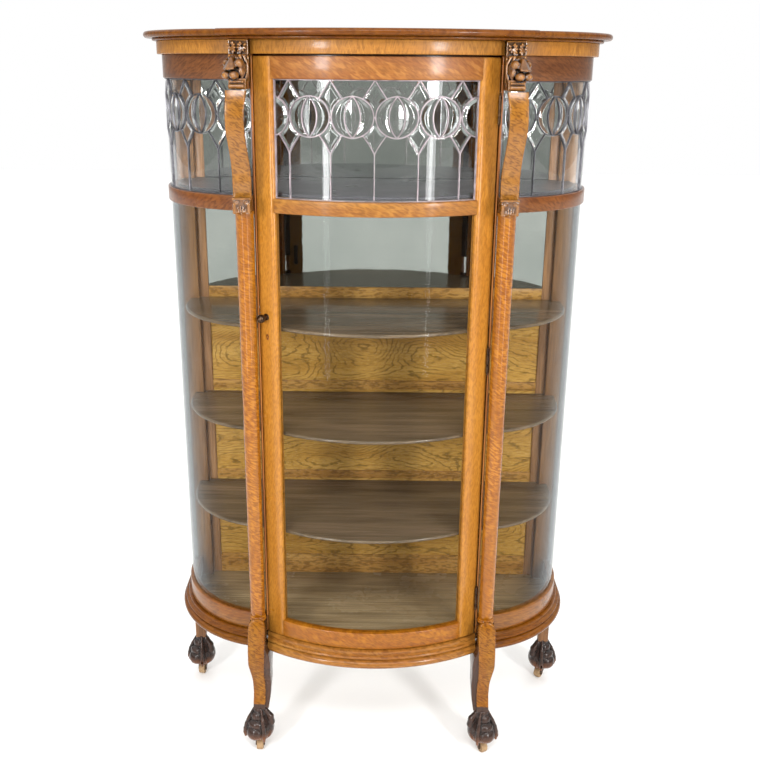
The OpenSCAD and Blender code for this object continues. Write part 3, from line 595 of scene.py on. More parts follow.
def nets(f, lo, hi, h):
    """Naive surface nets over a signed-distance function of numpy arrays, in millimetres."""
    ax = [np.arange(lo[i], hi[i] + h, h) for i in range(3)]
    X, Y, Z = np.meshgrid(*ax, indexing="ij")
    v = f(X, Y, Z)
    s = v < 0
    nx, ny, nz = (n - 1 for n in v.shape)
    cnt = np.zeros((nx, ny, nz))
    acc = np.zeros((nx, ny, nz, 3))
    corners = [(i, j, k) for i in (0, 1) for j in (0, 1) for k in (0, 1)]
    for ca in corners:
        for d in range(3):
            if ca[d]:
                continue
            cb = list(ca)
            cb[d] = 1
            sa = tuple(slice(c, c + n) for c, n in zip(ca, (nx, ny, nz)))
            sb = tuple(slice(c, c + n) for c, n in zip(cb, (nx, ny, nz)))
            va, vb = v[sa], v[sb]
            cross = s[sa] != s[sb]
            t = np.where(cross, va / np.where(cross, va - vb, 1.0), 0.0)
            for e in range(3):
                base = float(ca[e])
                acc[..., e] += np.where(cross, base + (t if e == d else 0.0), 0.0)
            cnt += cross
    act = cnt > 0
    idx = -np.ones(act.shape, int)
    idx[act] = np.arange(act.sum())
    I = np.argwhere(act)
    P = acc[act] / cnt[act][:, None] + I
    P = P * h + np.array(lo)
    faces = []
    for d in range(3):
        e1, e2 = (d + 1) % 3, (d + 2) % 3
        sl0 = [slice(1, n) for n in (nx, ny, nz)]
        sl0[d] = slice(0, (nx, ny, nz)[d])
        sl1 = list(sl0)
        sl1[d] = slice(1, (nx, ny, nz)[d] + 1)
        a, b = s[tuple(sl0)], s[tuple(sl1)]
        cr = np.argwhere(a != b)
        if len(cr) == 0:
            continue
        inside = a[tuple(cr.T)]
        c = cr.copy()
        c[:, e1] += 1
        c[:, e2] += 1
        q = []
        for o1, o2 in ((0, 0), (-1, 0), (-1, -1), (0, -1)):
            cc = c.copy()
            cc[:, e1] += o1
            cc[:, e2] += o2
            q.append(idx[tuple(cc.T)])
        q = np.stack(q, 1)
        q[~inside] = q[~inside][:, ::-1]
        faces.append(q)
    return P / 1000.0, np.concatenate(faces)


def smin(a, b, k):
    h = np.clip(0.5 + 0.5 * (b - a) / k, 0, 1)
    return b * (1 - h) + a * h - k * h * (1 - h)


def smax(a, b, k):
    return -smin(-a, -b, k)


def ell(X, Y, Z, c, r):
    q = np.sqrt(((X - c[0]) / r[0]) ** 2 + ((Y - c[1]) / r[1]) ** 2 + ((Z - c[2]) / r[2]) ** 2) + 1e-9
    q2 = np.sqrt(((X - c[0]) / r[0] ** 2) ** 2 + ((Y - c[1]) / r[1] ** 2) ** 2 + ((Z - c[2]) / r[2] ** 2) ** 2) + 1e-9
    return q * (q - 1) / q2


def cap(X, Y, Z, a, b, ra, rb):
    d = np.array(b, float) - np.array(a, float)
    L2 = float(d @ d)
    t = np.clip(((X - a[0]) * d[0] + (Y - a[1]) * d[1] + (Z - a[2]) * d[2]) / L2, 0, 1)
    dist = np.sqrt((X - a[0] - t * d[0]) ** 2 + (Y - a[1] - t * d[1]) ** 2 + (Z - a[2] - t * d[2]) ** 2)
    return dist - (ra + (rb - ra) * t)


def rbox(X, Y, Z, lo, hi, r):
    c = [(lo[i] + hi[i]) / 2 for i in range(3)]
    h = [(hi[i] - lo[i]) / 2 - r for i in range(3)]
    q = [np.abs(W - c[i]) - h[i] for i, W in enumerate((X, Y, Z))]
    out = np.sqrt(sum(np.maximum(w, 0) ** 2 for w in q))
    return out + np.minimum(np.maximum(q[0], np.maximum(q[1], q[2])), 0) - r

# ------------------------------------------------------------------ carcass


def both(name, part, gm_r, gm_l, mat, slot, nodes, body="cabinet", **kw):
    """Right-hand part and its mirror image as the left-hand one."""
    v, f = part
    finish(name + "_right", mesh_of(name + "_right", v, f), gm_r, mat, body, (nodes + "_right",) if nodes else (), slot, **kw)
    v, f = mirror_part(part)
    finish(name + "_left", mesh_of(name + "_left", v, f), gm_l, mat, body, (nodes + "_left",) if nodes else (), slot, **kw)


SIDE_R = g_arc(SC, straight=True)
SIDE_L = g_arc(SC, mirror=True, straight=True)
DOOR_G = g_arc(DC)


def top_outline(d):
    """Outline of the top board, d inside its edge; the same count of points for every d."""
    r1, r2 = 0.750 - d, 0.2965 - d
    cy = 0.750 - 0.478 + D2
    hw = 0.335 - d / 2
    a = math.asin(hw / r1)
    P = [(r1 * math.sin(t), cy - r1 * math.cos(t)) for t in np.linspace(-a, a, 49)]
    a0 = math.asin((hw - SC[0]) / r2)
    right = [(SC[0] + r2 * math.sin(t), SC[1] - r2 * math.cos(t)) for t in np.linspace(a0, PI / 2, 29)]
    yb = D2 - (0.001 if d > 0.001 else 0)
    P = P + [(hw, (P[-1][1] * 0.6 + right[0][1] * 0.4)), (hw, (P[-1][1] * 0.25 + right[0][1] * 0.75))] + right
    P += [(SC[0] + r2, y) for y in np.linspace(SC[1] + 0.02, yb, 5)]
    back = [(x, yb) for x in np.linspace(SC[0] + r2 - 0.03, -(SC[0] + r2 - 0.03), 13)]
    left = [(-x, y) for x, y in reversed(P[49:])]
    return P + back + left


def stack(levels, outline):
    """levels: (inset, z) from the underside's middle round the edge to the top's middle."""
    V, F = [], []
    m = None
    for d, z in levels:
        o = outline(d)
        m = len(o)
        V += [(x, y, z) for x, y in o]
    for k in range(len(levels) - 1):
        for i in range(m):
            a, b = k * m + i, k * m + (i + 1) % m
            F.append((a, b, b + m, a + m))
    F.append(tuple(reversed(range(m))))
    F.append(tuple(range((len(levels) - 1) * m, len(levels) * m)))
    return V, F


TT = 0.014
edge = [(0.0075, TOPZ - TT)]
for i in range(9):
    t = -PI / 2 + PI * i / 8
    edge.append((0.0062 * (1 - math.cos(t)) if i else 0.0062, TOPZ - TT / 2 + (TT / 2) * math.sin(t)))
edge.append((0.009, TOPZ))
v, f = stack(edge, top_outline)
finish("top_board_v", mesh_of("top_board_v", v, f), g_axes(0, 1, 2), M["top"], "cabinet", ("top_board",), "oak", sharp=50)

bm_levels = [(0.027, TOPZ - TT - 0.006), (0.0215, TOPZ - TT - 0.006), (0.0195, TOPZ - TT - 0.005), (0.019, TOPZ - TT - 0.003), (0.0195, TOPZ - TT - 0.0012), (0.021, TOPZ - TT)]
v, f = stack(bm_levels, top_outline)
finish("bed_moulding_v", mesh_of("bed_moulding_v", v, f), g_axes(0, 1, 2), M["top"], "cabinet", ("bed_moulding",), "oak", sharp=50)

FZ0, FZ1 = nb["frieze_center"][0][2], nb["frieze_center"][1][2]
v, f = sweep_cut(rrect(0.460, 0.4946, FZ0, FZ1, 0.0022), -0.2666, 0.2666, 56)
finish("frieze_center_v", mesh_of("frieze_center_v", v, f), DOOR_G, M["frieze"], "cabinet", ("frieze_center",), "oak")
side = sweep_side(rrect(0.238, 0.268, FZ0, FZ1, 0.0018), 0.3124, D2, 36, 6)
# dark rebates that the door closes against; their dark oak also paints the shade in the gap round the door
v, f = sweep_door(rrect(0.4480, 0.4608, 1.7205, 1.7318, 0.001), -35.2, 35.2, 48)
finish("door_stop_top", mesh_of("door_stop_top", v, f), DOOR_G, M["leg_side"], "cabinet", (), "dark_oak")
v, f = sweep_door(rrect(0.4480, 0.4608, 0.3136, 0.3320, 0.001), -32.6, 32.6, 48)
finish("door_stop_bottom", mesh_of("door_stop_bottom", v, f), DOOR_G, M["leg_side"], "cabinet", (), "dark_oak")
stops = []
for z0_, z1_ in ((0.3250, 1.1380), (1.1840, 1.7250)):
    for a0_, a1_ in ((33.3, 35.1), (-35.1, -33.3)):
        stops.append(sweep_door(rrect(0.4528, 0.4602, z0_, z1_, 0.0008), a0_, a1_, 3))
v, f = join_parts(stops)
finish("door_stop_sides", mesh_of("door_stop_sides", v, f), g_arc(DC, vert=True), M["leg_side"], "cabinet", (), "dark_oak")
both("frieze_v", side, SIDE_R, SIDE_L, M["frieze"], "oak", "frieze")
YR = nb["side_mid_rail_right"][1][1]
b = nb["side_top_rail_right"]
both("side_top_rail_v", sweep_side(rrect(0.238, 0.2568, b[0][2], b[1][2], 0.0018), 0.2712, YR), SIDE_R, SIDE_L, M["rail_dark"], "dark_oak", "side_top_rail")
b = nb["side_mid_rail_right"]
both("side_mid_rail_v", sweep_side(rrect(0.238, 0.2591, b[0][2], b[1][2], 0.0026), 0.2712, YR), SIDE_R, SIDE_L, M["rail_mid_side"], "dark_oak", "side_mid_rail")
b = nb["side_bottom_rail_right"]
both("side_bottom_rail_v", sweep_side(rrect(0.238, 0.2591, b[0][2], b[1][2], 0.0030), 0.2712, YR), SIDE_R, SIDE_L, M["side_low"], "oak", "side_bottom_rail")

# base moulding: a big round below, a quirk, a bead and a fillet above
BZ = nb["base_moulding_center"][0][2]


def base_profile(r0, r1):
    P = [(r0 + 0.001, BZ), (r1 - 0.012, BZ)]
    for i in range(11):
        t = -PI / 2 + (PI * 0.92) * i / 10
        P.append((r1 - 0.0105 + 0.0105 * math.cos(t), BZ + 0.0105 + 0.0105 * math.sin(t)))
    P += [(r1 - 0.0118, BZ + 0.0222), (r1 - 0.0122, BZ + 0.0232)]
    for i in range(9):
        t = -PI * 0.45 + (PI * 0.9) * i / 8
        P.append((r1 - 0.0110 + 0.0040 * math.cos(t), BZ + 0.0276 + 0.0040 * math.sin(t)))
    P += [(r1 - 0.0122, BZ + 0.0322), (r1 - 0.0150, BZ + 0.0335), (r1 - 0.0150, BZ + 0.0405), (r1 - 0.0165, BZ + 0.042), (r0 + 0.001, BZ + 0.042)]
    return P


v, f = sweep_cut(base_profile(0.476, 0.506), -0.2663, 0.2663, 64)
finish("base_moulding_center_v", mesh_of("base_moulding_center_v", v, f), DOOR_G, M["base"], "cabinet", ("base_moulding_center",), "oak", sharp=45)
both("base_moulding_v", sweep_side(base_profile(0.252, 0.2815), 0.3118, D2, 44), SIDE_R, SIDE_L, M["base_side"], "oak", "base_moulding", sharp=45)


def inside_outline(rd, rs, yb, notch=True, step=True):
    """Plan of a shelf: bowed front, curved sides, straight back, cut round the rear posts."""
    a = math.asin(0.2505 / rd)
    P = [(DC[0] + rd * math.sin(t), DC[1] - rd * math.cos(t)) for t in np.linspace(0, a, 25)]
    a0 = math.asin(0.0006 / rs)
    right = [(SC[0] + rs * math.sin(t), SC[1] - rs * math.cos(t)) for t in np.linspace(a0, PI / 2, 25)]
    P += right
    px = 0.459
    if notch and SC[0] + rs > px:
        P += [(SC[0] + rs, D2 - 0.051), (px, D2 - 0.051), (px, yb)]
    else:
        P += [(SC[0] + rs, yb)]
    Q = [(-x, y) for x, y in reversed(P[1:])]
    return Q + P


def slab(poly, z0, z1, round_r=0.0018, seg=3):
    """Slab from a plan polygon with softened upper and lower edges."""
    poly = [Vector((p[0], p[1], 0)) for p in poly]
    m = len(poly)
    norm = []
    for i in range(m):
        a, b, c = poly[i - 1], poly[i], poly[(i + 1) % m]
        e1 = (b - a).normalized()
        e2 = (c - b).normalized()
        nn = Vector((-(e1.y + e2.y), e1.x + e2.x, 0))
        nn.normalize()
        k = max(0.35, nn.dot(Vector((-e1.y, e1.x, 0))))
        norm.append(nn / k)
    lv = []
    for i in range(seg + 1):
        t = PI / 2 * i / seg
        lv.append((round_r * (1 - math.sin(t)), z0 + round_r * (1 - math.cos(t))))
    for i in range(seg + 1):
        t = PI / 2 * i / seg
        lv.append((round_r * (1 - math.cos(t)), z1 - round_r * (1 - math.sin(t))))
    V, F = [], []
    for d, z in lv:
        for p, n in zip(poly, norm):
            q = p + n * d
            V.append((q.x, q.y, z))
    L = len(lv)
    for k in range(L - 1):
        for i in range(m):
            a, b = k * m + i, k * m + (i + 1) % m
            F.append((a, b, b + m, a + m))
    F.append(tuple(reversed(range(m))))
    F.append(tuple(range((L - 1) * m, L * m)))
    return V, F


def ccw(P):
    s = sum(P[i - 1][0] * P[i][1] - P[i][0] * P[i - 1][1] for i in range(len(P)))
    return P if s > 0 else list(reversed(P))


for nm in ("shelf_top", "shelf_upper", "shelf_middle", "shelf_lower"):
    b = nb[nm]
    v, f = slab(ccw(inside_outline(0.451, 0.233, D2 - 0.037)), b[0][2], b[1][2], 0.0042, 6)
    finish(nm + "_v", mesh_of(nm, v, f), g_axes(0, 1, 2), M["shelf_top" if nm == "shelf_top" else "shelf"], "cabinet", (nm,), "dark_oak", sharp=40)

# cabinet floor, kept clear of the leg blocks
b = nb["bottom_board"]
P = inside_outline(0.476, 0.252, b[1][1])
v, f = slab(ccw([(x, y) for x, y in P if not (0.2655 < abs(x) < 0.3125 and y < -0.3275 + D2)]), b[0][2] + 0.0001, b[1][2], 0.0012, 2)
finish("bottom_board_v", mesh_of("bottom_board_v", v, f), g_axes(0, 1, 2), M["floor"], "cabinet", ("bottom_board",), "dark_oak", sharp=40)

# back
B0, B1 = nb["back_frame"]
y0, y1 = B0[1], B1[1]
parts = []
for s in (-1, 1):
    xa, xb = sorted((s * 0.4370, s * 0.4598))
    parts.append(box_part((xa, y0, B0[2]), (xb, y1, B1[2]), 0.0012))
v, f = join_parts(parts)
finish("back_stiles_v", mesh_of("back_stiles_v", v, f), g_axes(2, 0, 1), M["back"], "cabinet", (), "oak", sharp=30)
rails = [(0.314, 0.372), (0.6126, 0.6354), (0.876, 0.900), (1.1292, 1.158), (1.385, 1.4375), (1.678, 1.731)]
parts = [box_part((-0.437, y0, a), (0.437, y1, c), 0.0018) for a, c in rails]
v, f = join_parts(parts)
finish("back_rails_v", mesh_of("back_rails_v", v, f), g_axes(0, 2, 1), M["back_rail"], "cabinet", ("back_frame",), "oak", sharp=30)
v, f = box_part((-(SC[0] + 0.2374), y0, 1.7313), (SC[0] + 0.2374, y1, FZ1), 0.0010)
finish("back_top_cleat", mesh_of("back_top_cleat", v, f), g_axes(0, 2, 1), M["back"], "cabinet", (), "oak", sharp=30)
for i in range(3):
    v, f = box_part((-0.437, -0.029 + D2, rails[i][1]), (0.437, -0.021 + D2, rails[i + 1][0]), 0.0)
    finish("back_panel_%d" % i, mesh_of("back_panel_%d" % i, v, f), g_axes(0, 2, 1), M["panel"], "cabinet", ("back_panels",) if i == 0 else (), "oak", sharp=30)
parts = []
for i in (3, 4):
    parts.append(box_part((-0.437, -0.030 + D2, rails[i][1]), (0.437, -0.025 + D2, rails[i + 1][0]), 0.0))
v, f = join_parts(parts)
finish("back_mirrors_v", mesh_of("back_mirrors_v", v, f), g_axes(0, 2, 1), M["mirror"], "cabinet", ("back_mirrors",), "mirror_glass", sharp=30)

# slim posts behind the columns
b = nb["front_post_right"]
strip = [(0.2652, FACE + 0.002), (0.2652, FACE - 0.0073), (0.2656, FACE - 0.0080), (0.2666, FACE - 0.0083), (0.2676, FACE - 0.0080), (0.2680, FACE - 0.0073), (0.2680, FACE + 0.002)]
V, F = join_parts([box_part((0.265, FACE + 0.0005, b[0][2]), (0.271, -0.326 + D2, b[1][2]), 0.0012), extrude_plan(ccw(strip), 0.3725, 1.7265)])
both("front_post_v", (V, F), g_axes(2, 0, 1), g_axes(2, 0, 1), M["post"], "oak", "front_post", sharp=50)

# columns: cushion collar at the foot, slender shaft
C0, C1 = nb["column_right"]
cx, cy = (C0[0] + C1[0]) / 2, (C0[1] + C1[1]) / 2
zb, zt = C0[2], C1[2]
def col_r(z):
    """Shaft radius, a little slimmer towards the foot."""
    return float(np.interp(z, [0.392, 0.480, 0.800, 1.050, 1.200, 1.394], [0.0187, 0.0186, 0.0189, 0.0194, 0.0198, 0.0204]))


prof = [(0.0195, zb)]
prof += [(0.0193 + 0.0016 * math.sin(t), zb + 0.0036 - 0.0034 * math.cos(t)) for t in np.linspace(0.2, PI - 0.2, 7)]
prof += [(0.0183, zb + 0.0078), (0.0182, zb + 0.0086)]
prof += [(0.0188 + 0.0012 * math.sin(t), zb + 0.0104 - 0.0018 * math.cos(t)) for t in np.linspace(0.2, PI - 0.2, 5)]
prof += [(0.0166, zb + 0.0128), (0.0172, zb + 0.0146), (0.0181, zb + 0.0172), (0.0186, zb + 0.0205)]
for i in range(1, 25):
    z = zb + 0.0205 + (zt - 0.012 - zb - 0.0205) * i / 24
    prof.append((col_r(z), z))
prof += [(0.0206, zt - 0.009), (0.0213, zt - 0.007), (0.0213, zt - 0.001), (0.0205, zt)]


def g_col(cx, cy):
    return lambda co: np.stack([co[:, 2], 0.0195 * np.arctan2(co[:, 0] - cx, cy - co[:, 1]), np.hypot(co[:, 0] - cx, co[:, 1] - cy)], 1)


both("column_v", lathe(prof, (cx, cy), 72), g_col(cx, cy), g_col(-cx, cy), M["column"], "tiger_oak", "column", sharp=50)

# ------------------------------------------------------------------ corbels


def scroll_y(t):
    return -(0.401 + 0.052 * math.sin(min(PI / 2, t / 0.78 * PI / 2)) ** 2 - (0.008 * ((t - 0.78) / 0.22) ** 2 if t > 0.78 else 0)) + D2


def scroll_part():
    """Bowed strap, set a little outward where it bows out, fuller at both ends, soft edges."""
    N = 48
    tt = np.linspace(0, 1, N + 1)
    k = np.ones(7) / 7

    def soft(ts, vs):
        q = np.interp(tt, ts, vs)
        return np.convolve(np.concatenate([np.full(3, q[0]), q, np.full(3, q[-1])]), k, "valid")
    out = soft([0, 0.146, 0.29, 0.437, 0.63, 0.80, 1.0], [0.6, -1.2, -0.6, 1.2, 4.6, 4.4, 0.4])
    wide = soft([0, 0.146, 0.29, 0.437, 0.63, 0.825, 1.0], [0.2, 1.2, 1.0, 0.4, 0.9, 0.5, 1.9])
    rows = []
    for i, t in enumerate(tt):
        z = 1.4372 + 0.2218 * t
        yf = scroll_y(t) + 0.0008 - 0.0045 * math.exp(-((t - 0.13) / 0.09) ** 2)
        th = 0.0125 + 0.0035 * abs(2 * t - 1) ** 3
        hw = 0.0194 - 0.0010 * math.sin(PI * t) + wide[i] / 1000
        rows.append((z, yf, th, hw, COLX + out[i] / 1000))
    V, F = [], []
    for z, yf, th, hw, xc in rows:
        pr = rrect(xc - hw, xc + hw, yf, yf + th, 0.0022, 3)
        # very slightly hollow front
        for x, y in pr:
            q = max(0.0, 1 - ((x - xc) / hw) ** 2)
            V.append((x, y + (0.0012 * q if y < yf + 0.0005 else 0), z))
    m = len(pr)
    F = grid_faces(len(rows), m)
    F.append(tuple(reversed(range(m))))
    F.append(tuple(range(N * m, (N + 1) * m)))
    return V, F


both("corbel_scroll_v", scroll_part(), g_axes(2, 0, 1), g_axes(2, 0, 1), M["scroll"], "oak", "")

H = 0.9
CX = COLX * 1000


def occl(P, f, r=3.0):
    """How high a point stands on the carving: about 0 in a hollow, 1 on a crest; the carved materials paint shade into
    the hollows from it.
    """
    co = P * 1000.0
    d = np.zeros(len(co))
    k = 0
    for s in (1.0, 2.0):
        for dx, dy, dz in ((1, 0, 0), (-1, 0, 0), (0, 1, 0), (0, -1, 0), (0, 0, 1), (0, 0, -1), (.6, -.6, .5), (-.6, -.6, .5), (.6, -.6, -.5), (-.6, -.6, -.5)):
            d += np.clip(f(co[:, 0] + dx * r * s, co[:, 1] + dy * r * s, co[:, 2] + dz * r * s) / (r * s), -1, 1)
            k += 1
    return np.clip(0.42 + 0.9 * d / k, 0, 1)


def carve(name, f, lo, hi, h, mat, gm, body, slot, nodes, keep=None):
    """Right-hand carving and its mirror image. The distance function is in the frame, in millimetres."""
    P, F = nets(f, lo, hi, h)
    # hh: how high each point stands; the carved materials turn it into painted shade in the hollows
    hh = occl(P, f)
    V = [tuple(p) for p in P]
    FF = [tuple(int(i) for i in q) for q in F]
    for sfx, vv, ff in (("_right", V, FF), ("_left",) + mirror_part((V, FF))):
        finish(name + sfx, mesh_of(name + sfx, vv, ff), gm, mat, body, (nodes + sfx,) if nodes else (), slot, sharp=None, high=hh)


yF = FACE * 1000
d2 = D2 * 1000


def leaf_block(X, Y, Z):
    """Small capital under the scroll: a scooped block with a leaf curl at each corner."""
    Y = Y - d2
    X = X - CX
    d = rbox(X, Y, Z, (-19.5, -416, 1404.5), (19.5, -348.6, 1437), 2.0)
    scoop = np.sqrt((X / 1.0) ** 2 + (Y + 430) ** 2 + ((Z - 1414) * 0.8) ** 2) - 17.5
    d = smax(d, -scoop, 2.5)
    for s in (-1, 1):
        curl = cap(X, Y, Z, (s * 16, -413, 1406), (s * 15, -416, 1424), 4.2, 3.6)
        d = smin(d, curl, 2.0)
        eye = np.sqrt((X - s * 11) ** 2 + (Y + 413) ** 2 + (Z - 1427) ** 2)
        d = smin(d, eye - 6.2, 1.5)
        d = smax(d, -(np.sqrt((X - s * 10.5) ** 2 + (Y + 420) ** 2 + (Z - 1428) ** 2) - 2.2), 0.8)
        d = smin(d, cap(X, Y, Z, (s * 4, -412, 1432), (s * 17, -410, 1434), 3.0, 3.4), 1.2)
    for x0 in (-9, -3, 3, 9):
        d = smin(d, cap(X, Y, Z, (x0 * 0.8, -413.5, 1407), (x0 * 1.2, -411.5, 1426), 2.3, 1.6), 0.8)
    d = smin(d, rbox(X, Y, Z, (-20.3, -417.5, 1433.2), (20.3, -348.6, 1436.8), 1.2), 0.8)
    side = np.abs(np.abs(X) - 19.5)
    for zz in (1410, 1419, 1428):
        d = smax(d, -(np.sqrt(side ** 2 + (Z - zz - (Y + 400) * 0.15) ** 2) - 1.2), 0.8)
    return d


carve("corbel_leaf_v", leaf_block, (CX - 22, d2 - 421, 1402), (CX + 22, d2 - 346, 1439), H, M["carved"], g_axes(2, 0, 1), "cabinet", "dark_oak", "corbel")


def lion(X, Y, Z):
    """Traditional lion mask, turned outward, over two beads and under a block of leaf curls."""
    Y = Y - d2
    X = X - CX
    # back board, neck and beads
    d = rbox(X, Y, Z, (-21, -388, 1728.5), (21, -348.6, 1759.6), 1.5)
    d = smin(d, rbox(X, Y, Z, (-19.5, -403, 1674), (19.5, -348.6, 1730), 4.0), 2.0)
    d = smin(d, rbox(X, Y, Z, (-18.5, -424, 1660.3), (17.5, -348.6, 1682), 1.5), 1.5)
    d = smin(d, cap(X, Y, Z, (-12.5, -432, 1666.5), (12.5, -432, 1666.5), 4.6, 4.6), 0.6)
    for k in range(7):
        d = smin(d, np.sqrt((X - (k - 3) * 4.2) ** 2 + (Y + 431) ** 2 + (Z - 1675.4) ** 2) - 2.5, 0.5)
    # upper block: two fans of leaf lobes, each with a drilled eye
    for s in (-1, 1):
        ex = s * 12.0 + 2.5
        for kk, t in enumerate((-78, -40, -4, 32, 70)):
            u = math.radians(t)
            q = (ex - s * 3.0 + s * 0.0 - s * 11.0 * math.cos(u) * 0.55, -394.0 - 1.5 * math.cos(u), 1744.0 - 11.5 * math.sin(u) * 0.9 - 2.0)
            d = smin(d, cap(X, Y, Z, (ex, -390, 1746), q, 3.0, 2.5), 0.7)
        for t in (20, -30, -75):
            u = math.radians(t)
            q = (ex + s * 6.5 * math.cos(u), -391.5, 1746.0 + 9.5 * math.sin(u))
            d = smin(d, cap(X, Y, Z, (ex, -389.5, 1746), q, 2.8, 2.2), 0.7)
        d = smax(d, -(np.maximum(np.hypot(X - ex, Z - 1746.5) - 2.5, np.abs(Y + 391) - 8)), 0.6)
    d = smin(d, cap(X, Y, Z, (0, -393, 1731), (0.5, -391, 1741), 3.2, 1.8), 1.0)
    d = smin(d, cap(X, Y, Z, (-19.5, -390, 1757.5), (19.5, -390, 1757.5), 1.5, 1.5), 0.8)
    # head, turned outward
    a = math.radians(27)
    U = X * math.cos(a) + (Y + 400) * math.sin(a)
    W = -X * math.sin(a) + (Y + 400) * math.cos(a) - 400
    h = ell(U, W, Z, (0, -404, 1702), (20.5, 20, 22.5))
    # the broad wedge of the brow and nose
    ridge = (-(W + 442.3) + 0.46 * np.sqrt(U * U + 12.0) + 0.70 * np.maximum(Z - 1701, 0)) * 0.74
    wedge = smax(ridge, (np.abs(U) - 2.0 - 0.56 * (1726 - Z)) * 0.87, 4.0)
    wedge = smax(wedge, 1698.0 + 0.05 * np.abs(U) ** 1.3 - Z, 3.6)
    wedge = smax(wedge, Z - 1724, 2.0)
    wedge = smax(wedge, W + 404, 1.0)
    h = smin(h, wedge, 2.6)
    for s in (-1, 1):
        h = smin(h, ell(U, W, Z, (s * 14.5, -414.5, 1711.0), (9.8, 11.5, 9.8)), 3.2)                  # brow lobe
        h = smin(h, ell(U, W, Z, (s * 17.0, -411, 1696), (7.0, 9.5, 10.0)), 3.2)                      # cheek
        h = smax(h, -ell(U, W, Z, (s * 14.5, -425, 1702.0), (3.0, 8.5, 2.8)), 1.4)                   # deep eye
        h = smin(h, ell(U, W, Z, (s * 9.4, -427.5, 1688.6), (10.2, 11.0, 9.0)), 2.2)                   # muzzle
        for j in range(3):
            h = smax(h, -cap(U, W, Z, (s * (5.0 + 3.6 * j), -436.8 + 1.3 * j, 1691.5 - 0.6 * j), (s * (6.4 + 4.2 * j), -435.6 + 1.9 * j, 1683.5), 0.75, 0.5), 0.6)
        h = smax(h, -(np.sqrt((U - s * 4.2) ** 2 + (W + 441.0) ** 2 + (Z - 1698.5) ** 2) - 2.2), 0.8)
    h = smin(h, ell(U, W, Z, (0, -424.0, 1677.8), (7.6, 7.2, 4.0)), 1.0)                             # chin
    h = smax(h, -(np.maximum(np.abs(Z - 1681.3 + 0.02 * U * U) - 0.8, -(W + 420))), 0.8)             # mouth
    h = smax(h, -(np.maximum(np.abs(U) - 0.7, np.maximum(-(W + 426), Z - 1696))), 0.6)
    # mane: long curved locks down both sides and across the top
    for s in (-1, 1):
        for j, (r0, y0) in enumerate(((21.0, -409), (25.5, -401), (29.0, -392))):
            pts = [(s * (r0 - 8), y0 - 1, 1726 - j), (s * r0, y0, 1710), (s * (r0 + 0.5), y0 - 1, 1694), (s * (r0 - 5), y0 - 3, 1679)]
            for q0, q1 in zip(pts[:-1], pts[1:]):
                h = smin(h, cap(U, W, Z, q0, q1, 3.0, 2.6), 0.8)
    for i in range(5):
        t = math.radians(62 + 14 * i)
        h = smin(h, cap(U, W, Z, (17.5 * math.cos(t), -411, 1706 + 17.5 * math.sin(t)), (24.0 * math.cos(t), -401, 1704 + 24.0 * math.sin(t)), 3.0, 2.2), 0.8)
    d = smin(d, h, 1.0)
    d = np.maximum(d, Z - 1759.8)
    d = np.maximum(d, X - 31.5)
    d = np.maximum(d, -(Y + 440.4))
    d = np.maximum(d, -(X + 24.0))
    return d


carve("lion_mask_v", lion, (CX - 27, d2 - 444, 1658), (CX + 34, d2 - 347, 1762), H, M["carved"], g_axes(2, 0, 1), "cabinet", "dark_oak", "lion_mask")

# ------------------------------------------------------------------ front legs


def leg_half(z):
    if z > 333:
        return 21.3
    if z > 274:
        return 21.3 - (333 - z) / 59
    if z > 206:
        return 20.3 - 5 * math.sin((274 - z) / 68 * PI / 2) ** 2
    return 15.3


def leg_front(z):
    if z > 300:
        return -419.5 + 17 * ((z - 300) / 88) ** 1.4
    y = -419.5 + 20 * math.sin(min(PI / 2, (300 - z) / 130 * PI / 2)) ** 2
    return y - (9.5 * math.sin((168 - z) / 44 * PI / 2) ** 2 if z < 168 else 0.0)


def leg_tongue():
    """The S-shaped front strap of a front leg, rounded at its top, with soft arrises."""
    V, F = [], []
    zs = list(np.linspace(125, 366, 38)) + [366 + 21 * math.sin(t) for t in np.linspace(0.15, PI / 2 - 0.02, 10)]
    for z in zs:
        hw = leg_half(z) if z <= 366 else math.sqrt(max(0.2, 21.3 ** 2 - (z - 366) ** 2))
        yf = leg_front(z)
        th = 14.0 if z < 372 else 14.0 - (z - 372) * 0.6
        rad = min(2.4, hw * 0.45)
        xc = CX + float(np.interp(z, [125, 170, 200, 235, 262, 300, 340, 388], [0.0, -1.0, -0.4, 2.2, 3.8, 2.4, 1.2, 0.0]))
        for x, y in rrect(xc - hw, xc + hw, yf, yf + th, rad, 3):
            k = max(0.0, 1 - ((x - xc) / hw) ** 2)
            V.append((x / 1000, (y + d2 - (1.0 * k if y < yf + 0.4 and z > 180 else 0)) / 1000, z / 1000))
    m = 16
    F = grid_faces(len(zs), m)
    F.append(tuple(reversed(range(m))))
    F.append(tuple(range((len(zs) - 1) * m, len(zs) * m)))
    return V, F


tongue = leg_tongue()
both("front_leg_face_v", tongue, g_axes(2, 0, 1), g_axes(2, 0, 1), M["leg"], "dark_oak", "")


def leg_back_part():
    """Dark block of the leg behind its front strap."""
    V = []
    zs = list(np.linspace(122, 370, 38))
    for z in zs:
        hw = leg_half(z) - 0.8
        yf = leg_front(z) + 9
        yb = -331 if z > 250 else -331 - 30 * math.sin(min(PI / 2, (250 - z) / 100 * PI / 2)) ** 2
        if z > 322:
            yb = -350
        for x, y in rrect(CX - hw - float(np.interp(z, [122, 150, 190, 250, 285, 300], [9.0, 13.0, 16.0, 13.0, 9.0, 0.0])), CX + min(hw, leg_half(z) - 0.8), yf, yb, 2.5, 3):
            V.append((x / 1000, (y + d2) / 1000, z / 1000))
    m = 16
    F = grid_faces(len(zs), m)
    F.append(tuple(reversed(range(m))))
    F.append(tuple(range((len(zs) - 1) * m, len(zs) * m)))
    return V, F


